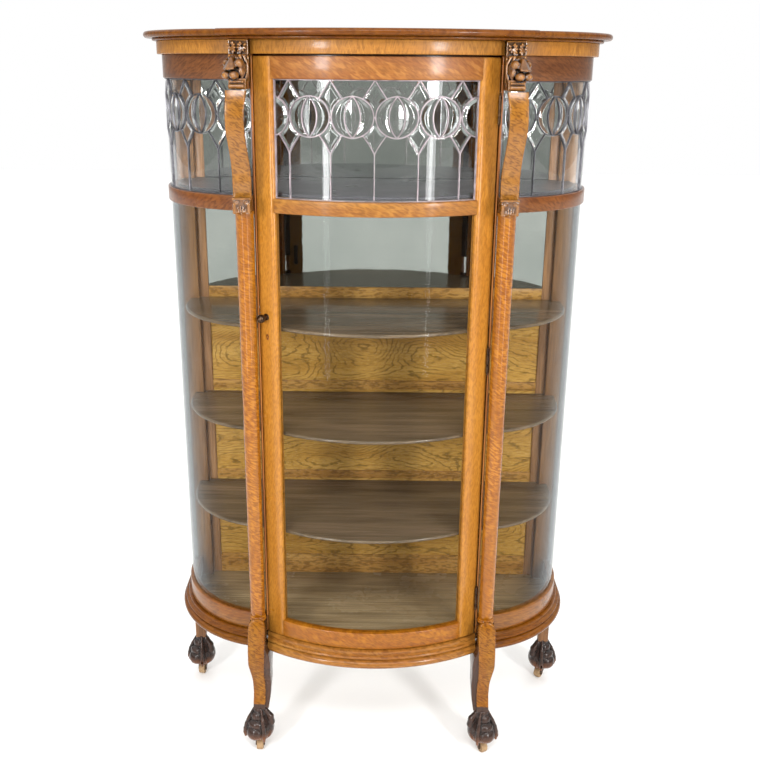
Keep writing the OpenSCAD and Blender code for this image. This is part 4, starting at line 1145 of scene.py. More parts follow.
both("front_leg_block_v", leg_back_part(), g_axes(2, 1, 0), g_axes(2, 1, 0), M["leg_side"], "dark_oak", "")


def foot(px, py, turn, top):
    """Claw foot over a caster: a broad middle toe of three folds between two clawed toes, lobes behind. px, py: the swivel axis (mm)."""
    ca, sa = math.cos(turn), math.sin(turn)

    def f(X, Y, Z):
        U = (X - px) * ca + (Y - py) * sa      # forward
        V_ = -(X - px) * sa + (Y - py) * ca
        R = np.interp(Z, [34, 40, 46, 54, 62, 70, 78, 88, 98, 108, 118, 128, 160], [21, 28.5, 33, 36, 37, 36, 33.5, 29, 24, 19.5, 16, 14.5, 14])
        d = (np.hypot(U, V_) - R) * 0.82
        # middle toe
        d = smin(d, ell(U, V_, Z, (20.0, 0, 60), (24.0, 24.5, 22)), 1.0)
        d = smin(d, ell(U, V_, Z, (18.5, 0, 83.5), (18.0, 21.5, 14)), 0.5)
        d = smin(d, ell(U, V_, Z, (11.0, 0, 103), (15.0, 17.5, 15)), 0.5)
        d = smin(d, ell(U, V_, Z, (6.5, 0, 118), (10.5, 14.0, 12)), 1.0)

        def along(d, t, pts, k):
            c, s = math.cos(math.radians(t)), math.sin(math.radians(t))
            for (r0, z0, w0), (r1, z1, w1) in zip(pts[:-1], pts[1:]):
                d = smin(d, cap(U, V_, Z, (r0 * c, r0 * s, z0), (r1 * c, r1 * s, z1), w0, w1), k)
            return d
        for t in (47, -47):
            d = along(d, t, [(12, 126, 3.6), (19, 112, 4.3), (27.5, 97, 4.8), (34.5, 80, 5.4), (38.0, 65, 5.8)], 1.0)
            d = along(d, t, [(38.0, 65, 6.0), (39.5, 54, 5.4), (38.5, 43, 3.2)], 0.8)
        for t in (104, -104):
            if t < 0:
                d = along(d, t, [(5, 126, 6.0), (16, 115, 7.5), (28.0, 99, 9.5), (30.0, 83, 10.0), (27, 68, 8.5), (21, 51, 6.0)], 2.0)
            else:
                d = along(d, t, [(5, 118, 5.0), (13, 106, 6.0), (22.0, 92, 7.5), (27.0, 76, 9.0), (27, 64, 8.5), (22, 50, 6.0)], 2.0)
            d = along(d, t, [(25, 62, 5.0), (22, 47, 2.0)], 1.0)
        d = along(d, 180, [(5, 122, 6.0), (15, 104, 7.5), (22, 80, 9.5), (20, 58, 8.0)], 2.0)
        # hollows beside the clawed toes and creases beside the middle toe
        for t in (74, -74):
            c, s = math.cos(math.radians(t)), math.sin(math.radians(t))
            for (r0, z0, w0), (r1, z1, w1) in (((30, 118, 3.0), (39, 96, 5.5)), ((39, 96, 5.5), (38, 64, 5.0)), ((38, 64, 5.0), (33, 44, 3.0))):
                d = smax(d, -cap(U, V_, Z, (r0 * c, r0 * s, z0), (r1 * c, r1 * s, z1), w0, w1), 2.0)
        for t in (35, -35):
            c, s = math.cos(math.radians(t)), math.sin(math.radians(t))
            for (r0, z0), (r1, z1) in (((17, 120), (26, 104)), ((26, 104), (34.5, 88)), ((34.5, 88), (41, 70)), ((41, 70), (42, 54)), ((42, 54), (40, 42))):
                d = smax(d, -cap(U, V_, Z, (r0 * c, r0 * s, z0), (r1 * c, r1 * s, z1), 1.5, 1.5), 1.0)
        d = smax(d, Z - top, 1.5)
        d = smax(d, 36.6 - Z, 2.5)
        d = np.maximum(d, 35.2 - Z)
        return d
    return f


FX, FY = 290.0, -396.0 + d2
CZ = 5.0
fr_foot = foot(FX, FY, math.radians(-64), 126.5)
carve("front_foot_v", fr_foot, (FX - 44, FY - 44, 33), (FX + 44, FY + 44, 160), H * 1.25, M["foot"], g_axes(2, 0, 1), "cabinet", "dark_oak", "front_leg")

# ------------------------------------------------------------------ rear posts and feet
b = nb["rear_leg_right"]
RX, RY = 498.0, -70.0 + d2
post = box_part((0.460, D2 - 0.050, 0.281), (0.502, D2, FZ0), 0.0022, 3)
both("rear_post_v", post, g_axes(2, 1, 0), g_axes(2, 1, 0), M["rear_post"], "oak", "")


def rear_leg_part():
    V = []
    rows = []
    for z in np.linspace(283, 124, 26):
        if z > 200:
            t = (280 - min(z, 280)) / 80
            t = t * t * (3 - 2 * t)
            x0, x1 = 460 + (RX - 19 - 460) * t, 502 + (RX + 15 - 502) * t
            ya, yb = (d2 - 50) + (RY - 16 - (d2 - 50)) * t, d2 + (RY + 18 - d2) * t
        else:
            t = (200 - z) / 58
            t = min(t, 1.25)
            x0, x1 = RX - 19 + 4 * t, RX + 15
            ya, yb = RY - 16 + 1 * t, RY + 18 - 3 * t
        rows.append((z, x0, x1, ya, yb))
    for z, x0, x1, ya, yb in rows:
        for x, y in rrect(x0, x1, ya, yb, 4.0, 3):
            V.append((x / 1000, y / 1000, z / 1000))
    m = 16
    F = [tuple(reversed(q)) for q in grid_faces(len(rows), m)]
    F.append(tuple(range(m)))
    F.append(tuple(reversed(range((len(rows) - 1) * m, len(rows) * m))))
    return V, F


both("rear_leg_shank_v", rear_leg_part(), g_axes(2, 0, 1), g_axes(2, 0, 1), M["rear_leg"], "dark_oak", "")
rr_foot = foot(RX, RY, math.radians(-50), 128.0)
carve("rear_foot_v", rr_foot, (RX - 44, RY - 44, 33), (RX + 44, RY + 44, 160), H * 1.25, M["foot"], g_axes(2, 0, 1), "cabinet", "dark_oak", "rear_leg")

# ------------------------------------------------------------------ glass
GR = 0.250


def sheet_side(r0, r1, z0, z1):
    return sweep_side(rrect(r0, r1, z0, z1, 0.0), 0.2712, YR, 48, 6)


b = nb["side_glass_right"]
both("side_glass_v", sheet_side(0.248, 0.252, b[0][2], b[1][2]), SIDE_R, SIDE_L, M["glass"], "clear_glass", "side_glass")
DA, DI = 32.9, 27.4          # hinge side: outer and inner edge of the stile
LA, LI = 33.15, 27.65        # latch side
b = nb["door_glass"]
v, f = sweep_door(rrect(0.468, 0.472, b[0][2], b[1][2], 0.0), -LI, DI, 60)
finish("door_glass_v", mesh_of("door_glass_v", v, f), DOOR_G, M["glass"], "door", ("door_glass",), "clear_glass")

LZ = 1.606
HW = 0.0170
KITE = 0.0752
SHX, SHZ = 0.0220, 0.0370      # where the web lines leave a circle, from the circle's centre


def lead_field(u, v, pitch, r, up, dn, lens=(-9.0, 9.0)):
    """Distance to the nearest lead line and the kind of piece at (u, v), metres; u is measured from a web line."""
    ra, rb = r
    a = np.abs((u / pitch + 0.5) % 1.0 - 0.5) * pitch
    sx, sz = pitch / 2 - SHX, SHZ
    rho = np.hypot((a - pitch / 2) / ra, v / rb)
    rl = (rb * rb + HW * HW) / (2 * HW)
    ves = np.hypot((a - pitch / 2) - (rl - HW), v) - rl
    d_c = np.abs(rho - 1) * (ra + rb) / 2
    has = (u > lens[0]) & (u < lens[1])
    d_v = np.where((np.abs(v) < rb) & has, np.abs(ves), 1.0)

    def seg(p, q):
        dx, dz = q[0] - p[0], q[1] - p[1]
        t = np.clip(((a - p[0]) * dx + (v - p[1]) * dz) / (dx * dx + dz * dz), 0, 1)
        return np.hypot(a - p[0] - t * dx, v - p[1] - t * dz)
    d_u, d_l = seg((sx, sz), (0, up)), seg((sx, -sz), (0, -KITE))
    d_s = np.where(v < -KITE + 0.002, a, 1.0)
    inside = rho < 1
    in_ves = inside & (ves < 0) & has
    d = np.minimum(np.minimum(d_c, np.minimum(d_u, d_l)), d_s)
    d = np.where(inside, np.minimum(d_c, d_v), d)
    up_d = (~inside) & (v > 0) & (a < np.where(v > sz, sx * (up - v) / (up - sz), sx + 0.001))
    lo_k = (~inside) & (v <= 0) & (v > -KITE) & (a < np.where(v < -sz, sx * (v + KITE) / (KITE - sz), sx + 0.001))
    return d, inside & ~in_ves, in_ves, up_d, lo_k


def bevel_height(u, v, pitch, r, up, dn, lens):
    d, lune, ves, dia, kite = lead_field(u, v, pitch, r, up, dn, lens)
    e = np.maximum(d - 0.0016, 0)
    h = np.zeros_like(d)
    h = np.where(lune, np.minimum(e * 0.26, 0.0021), h)
    h = np.where(ves, np.minimum(e * 0.19, 0.0030), h)
    h = np.where(dia, np.minimum(e * 0.30, 0.0017), h)
    h = np.where(kite, np.minimum(e * 0.30, 0.0017), h)
    plain = ~(lune | ves | dia | kite)
    h = np.where(plain, 0.0004, h)
    web = dia | kite
    cell = np.where(web, np.floor(u / pitch + 0.5), np.floor(u / pitch))
    uc = np.where(web, cell * pitch, (cell + 0.5) * pitch)
    vc = np.where(dia, 0.045, np.where(kite, -0.045, np.where(plain, np.where(v > 0, 0.06, -0.12), 0.0)))
    idx = cell * 7.0 + np.where(dia, 1.0, 0.0) + np.where(kite, 2.0, 0.0) + np.where(plain & (v > 0), 3.0, 0.0) + np.where(plain & (v <= 0), 4.0, 0.0)
    su = 0.014 * np.sin(idx * 12.9898 + 0.7)
    sv = 0.007 * np.sin(idx * 78.233 + 1.9)
    return h + np.clip(su * (u - uc), -0.0005, 0.0005) + np.clip(sv * (v - vc), -0.0004, 0.0004) + 0.0004


STEP = 0.0019


def lead_plate(to_xyz, s0, s1, z0, z1, phase, pitch, r, rin, rbase, lens=(-9.0, 9.0)):
    up, dn = z1 - LZ, LZ - z0
    ns, nz = int((s1 - s0) / STEP) + 1, int((z1 - z0) / STEP) + 1
    S, Z = np.meshgrid(np.linspace(s0, s1, ns), np.linspace(z0, z1, nz), indexing="ij")
    h = bevel_height(S - phase, Z - LZ, pitch, r, up, dn, lens)
    A = to_xyz(S, Z, rbase + h).reshape(-1, 3)
    B = to_xyz(S, Z, np.full_like(h, rin)).reshape(-1, 3)
    n = ns * nz
    F = []
    i, j = np.meshgrid(np.arange(ns - 1), np.arange(nz - 1), indexing="ij")
    a = (i * nz + j).ravel()
    F1 = np.stack([a, a + nz, a + nz + 1, a + 1], 1)
    F2 = np.stack([a, a + 1, a + nz + 1, a + nz], 1) + n
    F = [tuple(q) for q in np.concatenate([F1, F2]).tolist()]
    for k in range(ns - 1):
        a, b2 = k * nz, (k + 1) * nz
        F.append((a, a + n, b2 + n, b2))
        a, b2 = k * nz + nz - 1, (k + 1) * nz + nz - 1
        F.append((a, b2, b2 + n, a + n))
    for k in range(nz - 1):
        a = k
        F.append((a, a + 1, a + 1 + n, a + n))
        a = (ns - 1) * nz + k
        F.append((a, a + n, a + 1 + n, a + 1))
    return [tuple(p) for p in np.concatenate([A, B]).tolist()], F


def door_xyz(S, Z, R):
    t = S / 0.472
    return np.stack([DC[0] + R * np.sin(t), DC[1] - R * np.cos(t), Z], -1)


def side_xyz(S, Z, R):
    t = np.minimum(S / 0.252, PI / 2)
    ex = np.maximum(S - 0.252 * PI / 2, 0)
    return np.stack([SC[0] + R * np.sin(t), SC[1] - R * np.cos(t) + ex, Z], -1)


def came_tubes(to_xyz, paths, rmid, w, hd):
    """Lead lines: paths of (s, z) points, each swept with a rounded section through the glass."""
    parts = []
    sec = [(math.cos(t), math.sin(t)) for t in np.linspace(0, 2 * PI, 11)[:-1]]
    sec = [(math.copysign(abs(c) ** 0.75, c) * w / 2, math.copysign(abs(s) ** 0.6, s) * hd) for c, s in sec]
    for path, closed in paths:
        P = np.array(path)
        if closed:
            T = np.roll(P, -1, 0) - np.roll(P, 1, 0)
        else:
            T = np.gradient(P, axis=0)
        T /= np.linalg.norm(T, axis=1)[:, None]
        N = np.stack([-T[:, 1], T[:, 0]], 1)
        rings = []
        for c, s in sec:
            Q = P + N * c
            rings.append(to_xyz(Q[:, 0], Q[:, 1], np.full(len(P), rmid + s)))
        R = np.stack(rings, 1)
        n, m = R.shape[0], R.shape[1]
        V = [tuple(p) for p in R.reshape(-1, 3).tolist()]
        F = grid_faces(n, m)
        if closed:
            F += [((n - 1) * m + j, (n - 1) * m + (j + 1) % m, (j + 1) % m, j) for j in range(m)]
        else:
            F.append(tuple(reversed(range(m))))
            F.append(tuple(range((n - 1) * m, n * m)))
        parts.append((V, F))
    return parts


def pattern_paths(s0, s1, z0, z1, centers, webs, pitch, r, lenses):
    out = []
    ra, rb = r
    rl = (rb * rb + HW * HW) / (2 * HW)
    a = math.asin(rb / rl)
    sx, sz = pitch / 2 - SHX, SHZ

    def clip(path):
        runs, cur = [], []
        for p in path:
            if s0 + 0.0003 < p[0] < s1 - 0.0003:
                cur.append(p)
            else:
                if len(cur) > 3:
                    runs.append(cur)
                cur = []
        if len(cur) > 3:
            runs.append(cur)
        return runs
    for c in centers:
        if s0 < c - ra and c + ra < s1:
            out.append(([(c + ra * math.cos(t), LZ + rb * math.sin(t)) for t in np.linspace(0, 2 * PI, 73)[:-1]], True))
        else:
            t0 = -PI if c - ra < s0 else 0.0
            rot = [(c + ra * math.cos(t), LZ + rb * math.sin(t)) for t in np.linspace(t0, t0 + 2 * PI, 120)]
            out += [(q, False) for q in clip(rot)]
    for c in lenses:
        for sg in (-1, 1):
            arc = [(c + sg * (rl * math.cos(t) - (rl - HW)), LZ + rl * math.sin(t)) for t in np.linspace(-a, a, 30)]
            out += [(q, False) for q in clip(arc)]
    for wv in webs:
        for sg in (-1, 1):
            out += [(q, False) for q in clip([(wv + sg * sx * (1 - t), LZ + sz + (z1 - 0.0005 - LZ - sz) * t) for t in np.linspace(0, 1, 12)])]
            k = 0.0016
            out += [(q, False) for q in clip([(wv + sg * (sx * (1 - t) - k * math.sin(PI * t)), LZ - sz - (KITE - sz) * t) for t in np.linspace(0, 1, 14)])]
        out.append(([(wv, LZ - KITE + 0.002 - (LZ - KITE + 0.002 - z0 - 0.0005) * t) for t in np.linspace(0, 1, 8)], False))
    return out


def frame_paths(s0, s1, z0, z1, e=0.0012):
    return [([(s, z0 + e) for s in np.linspace(s0 + 0.0003, s1 - 0.0003, 60)], False),
            ([(s, z1 - e) for s in np.linspace(s0 + 0.0003, s1 - 0.0003, 60)], False),
            ([(s0 + e, z) for z in np.linspace(z0 + 0.0004, z1 - 0.0004, 12)], False),
            ([(s1 - e, z) for z in np.linspace(z0 + 0.0004, z1 - 0.0004, 12)], False)]


def solder(to_xyz, pts, rr, rmid, rad=0.0034):
    parts = []
    for s, z in pts:
        for sg in (1, -1):
            V, F = [], []
            for i in range(4):
                ph = PI / 2 * i / 3
                for j in range(10):
                    t = 2 * PI * j / 10
                    q = to_xyz(np.array(s + rad * math.cos(ph) * math.cos(t)), np.array(z + rad * math.cos(ph) * math.sin(t)),
                               np.array(rmid + sg * (rr - 0.0009 + 0.0008 * math.sin(ph))))
                    V.append(tuple(q.tolist()))
            F = grid_faces(4, 10)
            F.append(tuple(range(30, 40)))
            F.append(tuple(reversed(range(10))))
            if sg < 0:
                F = [tuple(reversed(q)) for q in F]
            parts.append((V, F))
    return parts


rad = math.radians
b = nb["door_leaded_glass"]
z0, z1 = b[0][2], b[1][2]
s0, s1 = -0.472 * rad(LI), 0.472 * rad(DI)
pitch = 0.472 * rad(11.4)
shift = 0.472 * rad(-0.43)
EL = (0.0450, 0.0421)
v, f = lead_plate(door_xyz, s0, s1, z0, z1, shift, pitch, EL, 0.4685, 0.4702, (-2 * pitch, 2 * pitch))
finish("door_leaded_glass_v", mesh_of("door_leaded_glass_v", v, f), DOOR_G, M["bevel"], "door", ("door_leaded_glass",), "bevelled_glass", sharp=60)
cen = [shift + pitch * k for k in (-2.5, -1.5, -0.5, 0.5, 1.5, 2.5)]
web = [shift + pitch * k for k in (-2, -1, 0, 1, 2)]


def joints_of(webs, cens, lenses, rb):
    P = [(w, LZ - KITE) for w in webs] + [(c, LZ + q) for c in lenses for q in (rb, -rb)]
    P += [(w + g * (pitch / 2 - SHX), LZ + q * SHZ) for w in webs for g in (-1, 1) for q in (-1, 1)]
    P += [((a + b) / 2, LZ) for a, b in zip(cens[:-1], cens[1:])]
    return P


parts = came_tubes(door_xyz, pattern_paths(s0, s1, z0, z1, cen, web, pitch, EL, cen[1:-1]), 0.4700, 0.0026, 0.0041)
parts += came_tubes(door_xyz, frame_paths(s0, s1, z0, z1), 0.4700, 0.0024, 0.0039)
parts += solder(door_xyz, joints_of(web, cen, cen[1:-1], EL[1]), 0.0041, 0.4700, 0.0020)
v, f = join_parts(parts)
finish("door_lead_cames_v", mesh_of("door_lead_cames_v", v, f), DOOR_G, M["lead"], "door", ("door_lead_cames",), "lead_came", sharp=60)

b = nb["side_leaded_glass_right"]
z0, z1 = b[0][2], b[1][2]
s0 = 0.252 * math.asin(0.0212 / 0.250)
s1 = 0.252 * PI / 2 + (YR - SC[1])
pitch = 0.252 * rad(21.2)
EL = (0.0440, 0.0421)
part = lead_plate(side_xyz, s0, s1, z0, z1, 0.252 * rad(23.3), pitch, EL, 0.2485, 0.2504, (-9.0, 3 * pitch))
both("side_leaded_glass_v", part, SIDE_R, SIDE_L, M["bevel"], "bevelled_glass", "side_leaded_glass", sharp=60)
cen = [0.252 * rad(12.7 + 21.2 * k) for k in range(5)]
web = [0.252 * rad(23.3 + 21.2 * k) for k in range(4)]
parts = came_tubes(side_xyz, pattern_paths(s0, s1, z0, z1, cen, web, pitch, EL, cen[:-1]), 0.2500, 0.0022, 0.0041)
parts += came_tubes(side_xyz, frame_paths(s0, s1, z0, z1), 0.2500, 0.0024, 0.0039)
parts += solder(side_xyz, [p for p in joints_of(web, cen, cen[:-1], EL[1]) if s0 + 0.005 < p[0] < s1 - 0.005], 0.0041, 0.2500, 0.0017)
one = join_parts(parts)
v, f = join_parts([one, mirror_part(one)])
finish("side_lead_cames_v", mesh_of("side_lead_cames_v", v, f), g_axes(0, 1, 2), M["lead_dark"], "cabinet", ("side_lead_cames",), "lead_came", sharp=60)

# ------------------------------------------------------------------ door
b = nb["door_stile_right"]
DZ0, DZ1 = b[0][2], b[1][2]
R0, R1 = 0.4626, 0.4826


def stile_plan(a0, a1, bev_in, inner_high):
    """Plan of a stile between two angles (deg); bev_in is the small chamfer beside the glass."""
    P = []
    n = 6
    e = 0.0014

    def pt(r, a):
        return (DC[0] + r * math.sin(a), DC[1] - r * math.cos(a))
    a0, a1 = rad(a0), rad(a1)
    ch0 = bev_in if inner_high == 0 else e
    ch1 = bev_in if inner_high == 1 else e
    # outer face from a0 to a1
    for t in np.linspace(0, 1, 5):
        bow = 0.0007 * math.sin(PI * t) if inner_high == 0 else e * (0.29 * math.sin(PI * t))
        P.append(pt(R1 - (0.8 * ch0 if inner_high == 0 else ch0) * (1 - t) + bow, a0 + (ch0 * t - bow) / R1))
    for t in np.linspace(0, 1, n)[1:-1]:
        P.append(pt(R1, a0 + ch0 / R1 + (a1 - a0 - (ch0 + ch1) / R1) * t))
    for t in np.linspace(0, 1, 5):
        bow = 0.0007 * math.sin(PI * t) if inner_high == 1 else e * (0.29 * math.sin(PI * t))
        P.append(pt(R1 - (0.8 * ch1 if inner_high == 1 else ch1) * t + bow, a1 - (ch1 * (1 - t) - bow) / R1))
    # inner face back
    P.append(pt(R0 + 0.001, a1))
    P.append(pt(R0, a1 - 0.001 / R0))
    for t in np.linspace(0, 1, n)[1:-1]:
        P.append(pt(R0, a1 + (a0 - a1) * t))
    P.append(pt(R0, a0 + 0.001 / R0))
    P.append(pt(R0 + 0.001, a0))
    return ccw(P)


def prism_soft(poly, z0, z1, e=0.0012):
    """Upright piece from a plan, ends softened."""
    return slab(poly, z0, z1, e, 2)


v, f = prism_soft(stile_plan(DI, DA, 0.0065, 0), DZ0, DZ1)
finish("door_stile_right_v", mesh_of("door_stile_right_v", v, f), g_arc(DC, vert=True), M["stile"], "door", ("door_stile_right",), "oak", sharp=40)
v, f = prism_soft(stile_plan(-LA, -LI, 0.0065, 1), DZ0, DZ1)
finish("door_stile_left_v", mesh_of("door_stile_left_v", v, f), g_arc(DC, vert=True), M["stile"], "door", ("door_stile_left",), "oak", sharp=40)


def rail_profile(z0, z1, c_lo, c_hi, e=0.0014):
    """Rail section with a soft moulded arris beside the glass and a small one elsewhere."""
    P = [(R0 + 0.001, z0), (R1 - c_lo, z0)]
    P += [(R1 - c_lo + c_lo * math.sin(t), z0 + c_lo - c_lo * math.cos(t)) for t in np.linspace(0, PI / 2, 5)[1:]]
    P += [(R1 - c_hi + c_hi * math.cos(t), z1 - c_hi + c_hi * math.sin(t)) for t in np.linspace(0, PI / 2, 5)]
    P += [(R0 + 0.001, z1), (R0, z1 - 0.001), (R0, z0 + 0.001)]
    return P


for nm, lo, hi, mt in (("door_rail_top", 0.0028, 0.0012, "rail_red"), ("door_rail_middle", 0.0030, 0.0030, "rail_mid"), ("door_rail_bottom", 0.0012, 0.0028, "rail_low")):
    b = nb[nm]
    v, f = sweep_door(rail_profile(b[0][2], b[1][2], lo, hi), -LI + 0.012, DI - 0.012, 48)
    finish(nm + "_v", mesh_of(nm + "_v", v, f), DOOR_G, M[mt], "door", (nm,), "oak", sharp=40)

# hinges
J = {j["name"]: j for j in frame["record"]["behaviour"]["joints"]}
HX, HY = J["door_hinge"]["pos_m"][:2]
HZ = (0.432, 1.060, 1.621)
fr, dr = [], []
for hz in HZ:
    for a, c in ((hz - 0.030, hz - 0.0102), (hz + 0.0102, hz + 0.030)):
        fr.append(lathe([(0.0026, a), (0.0034, a + 0.0008), (0.0035, a + 0.002), (0.0035, c - 0.002), (0.0034, c - 0.0008), (0.0026, c)], (HX, HY), 28))
    for s in (-1, 1):
        e0 = hz + s * 0.030
        pr = [(0.0021, 0.0), (0.0014, 0.0012), (0.0016, 0.0020), (0.0023, 0.0030), (0.0022, 0.0042), (0.0010, 0.0050)]
        pr = [(r, e0 + s * h) for r, h in pr]
        if s < 0:
            pr = list(reversed(pr))
        fr.append(lathe(pr, (HX, HY), 20))
    fr.append(box_part((0.2640, HY + 0.0005, hz + 0.0102), (0.2650, HY + 0.032, hz + 0.030), 0.0003, 1))
    fr.append(box_part((0.2640, HY + 0.0005, hz - 0.030), (0.2650, HY + 0.032, hz - 0.0102), 0.0003, 1))
    fr.append(box_part((0.2640, HY + 0.008, hz - 0.0102), (0.2650, HY + 0.032, hz + 0.0102), 0.0003, 1))
    a, c = hz - 0.0099, hz + 0.0099
    dr.append(lathe([(0.0026, a), (0.0034, a + 0.0008), (0.0035, a + 0.002), (0.0035, c - 0.002), (0.0034, c - 0.0008), (0.0026, c)], (HX, HY), 28))
    Rz = Matrix.Rotation(rad(-90 + DA), 4, "Z")
    leaf = box_part((R0 + 0.002, 0.0001, -0.0298), (R1 - 0.0015, 0.0010, 0.0298), 0.0003, 1)
    dr.append(([tuple(Rz @ Vector(p) + Vector((DC[0], DC[1], hz))) for p in leaf[0]], leaf[1]))
    leaf = box_part((R1 - 0.0025, 0.0001, -0.0096), (R1 + 0.0040, 0.0010, 0.0096), 0.0003, 1)
    dr.append(([tuple(Rz @ Vector(p) + Vector((DC[0], DC[1], hz))) for p in leaf[0]], leaf[1]))
v, f = join_parts(fr)
finish("frame_hinges_v", mesh_of("frame_hinges_v", v, f), g_axes(2, 0, 1), M["bronze"], "cabinet", ("frame_hinge_leaves",), "bronzed_hardware", sharp=30)
v, f = join_parts(dr)
finish("door_hinges_v", mesh_of("door_hinges_v", v, f), g_axes(2, 0, 1), M["bronze"], "door", ("door_hinge_leaves",), "bronzed_hardware", sharp=30)

# knob, turned, with its spindle and catch lever
KA = math.atan2(J["knob_turn"]["axis"][1], J["knob_turn"]["axis"][0])
KZ = J["knob_turn"]["pos_m"][2]
pr = [(0.0039, -0.030), (0.0039, 0.0002), (0.0076, 0.0004), (0.0080, 0.0010), (0.0074, 0.0019), (0.0052, 0.0024), (0.0044, 0.0040),
      (0.0040, 0.0080), (0.0046, 0.0116), (0.0072, 0.0134), (0.0093, 0.0158), (0.0099, 0.0188), (0.0098, 0.0214), (0.0088, 0.0248),
      (0.0070, 0.0272), (0.0062, 0.0277), (0.0056, 0.0272), (0.0050, 0.0274), (0.0034, 0.0298), (0.0012, 0.0308)]
kn = lathe(pr, (0, 0), 48)
Rk = Matrix.Rotation(KA, 4, "Z") @ Matrix.Rotation(PI / 2, 4, "Y")
knob = ([tuple(Rk @ Vector(p) + Vector((DC[0] + R1 * math.cos(KA), DC[1] + R1 * math.sin(KA), KZ))) for p in kn[0]], kn[1])
lv = box_part((R1 - 0.0294, -0.0058, -0.0058), (R1 - 0.0262, 0.0058, 0.0498), 0.0009, 2)
Rz = Matrix.Rotation(KA, 4, "Z")
lever = ([tuple(Rz @ Vector(p) + Vector((DC[0], DC[1], KZ))) for p in lv[0]], lv[1])
v, f = join_parts([knob, lever])
finish("door_knob_v", mesh_of("door_knob_v", v, f), g_axes(2, 0, 1), M["bronze"], "knob", ("door_knob",), "bronzed_hardware", sharp=35)

# keyhole below the knob: a small plate with a slot, in the oak of the side middle rails
kp = []
n = 20
pl = [(0.0036 * math.cos(t), 0.0074 * math.sin(t)) for t in np.linspace(0, 2 * PI, n + 1)[:-1]]
V, F = [], []
for k, (sc, r) in enumerate(((1.0, R1 - 0.0006), (1.0, R1 + 0.0005), (0.86, R1 + 0.0009), (0.40, R1 + 0.0009), (0.36, R1 - 0.0004))):
    for s, z in pl:
        th = rad(-30.7) + sc * s / R1
        V.append((DC[0] + r * math.sin(th), DC[1] - r * math.cos(th), KZ - 0.047 + sc * z))
F = grid_faces(5, n)
F.append(tuple(reversed(range(n))))
F.append(tuple(range(4 * n, 5 * n)))
finish("keyhole_plate", mesh_of("keyhole_plate", V, F), g_axes(2, 0, 1), M["rail_mid_side"], "door", (), "oak", sharp=35)

# ------------------------------------------------------------------ casters
WR, WW = 0.014, 0.018
for k in ("fl", "fr", "rl", "rr"):
    sx, sy = J["swivel_" + k]["pos_m"][:2]
    wx, wy = J["roll_" + k]["pos_m"][:2]
    th = math.atan2(wy - sy, wx - sx)
    Rz = Matrix.Rotation(th, 4, "Z")
    parts = [lathe([(0.0105, 0.0300), (0.011, 0.0306), (0.011, 0.0322), (0.0100, 0.0327)], (0, 0), 40),
             lathe([(0.0039, 0.0325), (0.0039, 0.0655), (0.003, 0.0660)], (0, 0), 24)]
    for s in (-1, 1):
        ya, yb = sorted((s * (WW / 2 + 0.0006), s * (WW / 2 + 0.0026)))
        out = [(-0.0068, 0.0304), (0.0068, 0.0304), (0.0100, 0.0255), (0.0125, 0.0170)]
        out += [(0.008 + 0.0046 * math.cos(t), WR + 0.0046 * math.sin(t)) for t in np.linspace(0.35, -PI - 0.2, 12)]
        V = [(x, ya, z) for x, z in out] + [(x, yb, z) for x, z in out]
        m = len(out)
        F = [(i, (i + 1) % m, m + (i + 1) % m, m + i) for i in range(m)] + [tuple(reversed(range(m))), tuple(range(m, 2 * m))]
        parts.append((V, F))
    ax = lathe([(0.0012, -WW / 2 - 0.0034), (0.0024, -WW / 2 - 0.0030), (0.0026, -WW / 2 - 0.0026), (0.0019, -WW / 2 - 0.0025), (0.0019, WW / 2 + 0.0025),
                (0.0026, WW / 2 + 0.0026), (0.0024, WW / 2 + 0.0030), (0.0012, WW / 2 + 0.0034)], (0, 0), 20)
    Rx = Matrix.Rotation(PI / 2, 4, "X")
    ax = ([tuple(Rx @ Vector(p) + Vector((0.008, 0, WR))) for p in ax[0]], ax[1])
    parts.append(ax)
    v, f = join_parts(parts)
    v = [tuple(Rz @ Vector(p) + Vector((sx, sy, 0))) for p in v]
    me = mesh_of("caster_fork_%s_v" % k, v, f)
    bm = bmesh.new(); bm.from_mesh(me); bmesh.ops.recalc_face_normals(bm, faces=bm.faces); bm.to_mesh(me); bm.free()
    finish("caster_fork_%s_v" % k, me, g_axes(2, 0, 1), M["bronze"], "caster_" + k, ("caster_fork_" + k,), "bronzed_hardware", sharp=35)
    w = WW / 2 - 0.0002
    pr = [(0.0021, -w), (0.0050, -w), (0.0056, -w + 0.0012), (0.0112, -w + 0.0010), (0.0124, -w + 0.0004), (0.0136, -w + 0.0018), (0.01395, -w + 0.0035),
          (0.01400, 0.0), (0.01395, w - 0.0035), (0.0136, w - 0.0018), (0.0124, w - 0.0004), (0.0112, w - 0.0010), (0.0056, w - 0.0012), (0.0050, w), (0.0021, w)]
    wh = lathe(pr, (0, 0), 56)
    wv = [tuple(Rz @ (Rx @ Vector(p) + Vector((0.008, 0, WR))) + Vector((sx, sy, 0))) for p in wh[0]]
    finish("caster_wheel_%s_v" % k, mesh_of("caster_wheel_%s_v" % k, wv, wh[1]), g_axes(2, 0, 1), M["wheel"], "wheel_" + k, ("caster_wheel_" + k,), "wheel_wood", sharp=40)

for node, mat in (("caster_sockets", "bronze"), ("shelf_pins", "brass")):
    me = frame["nodes"][node].data
    me.materials.clear()
    me.materials.append(M[mat])

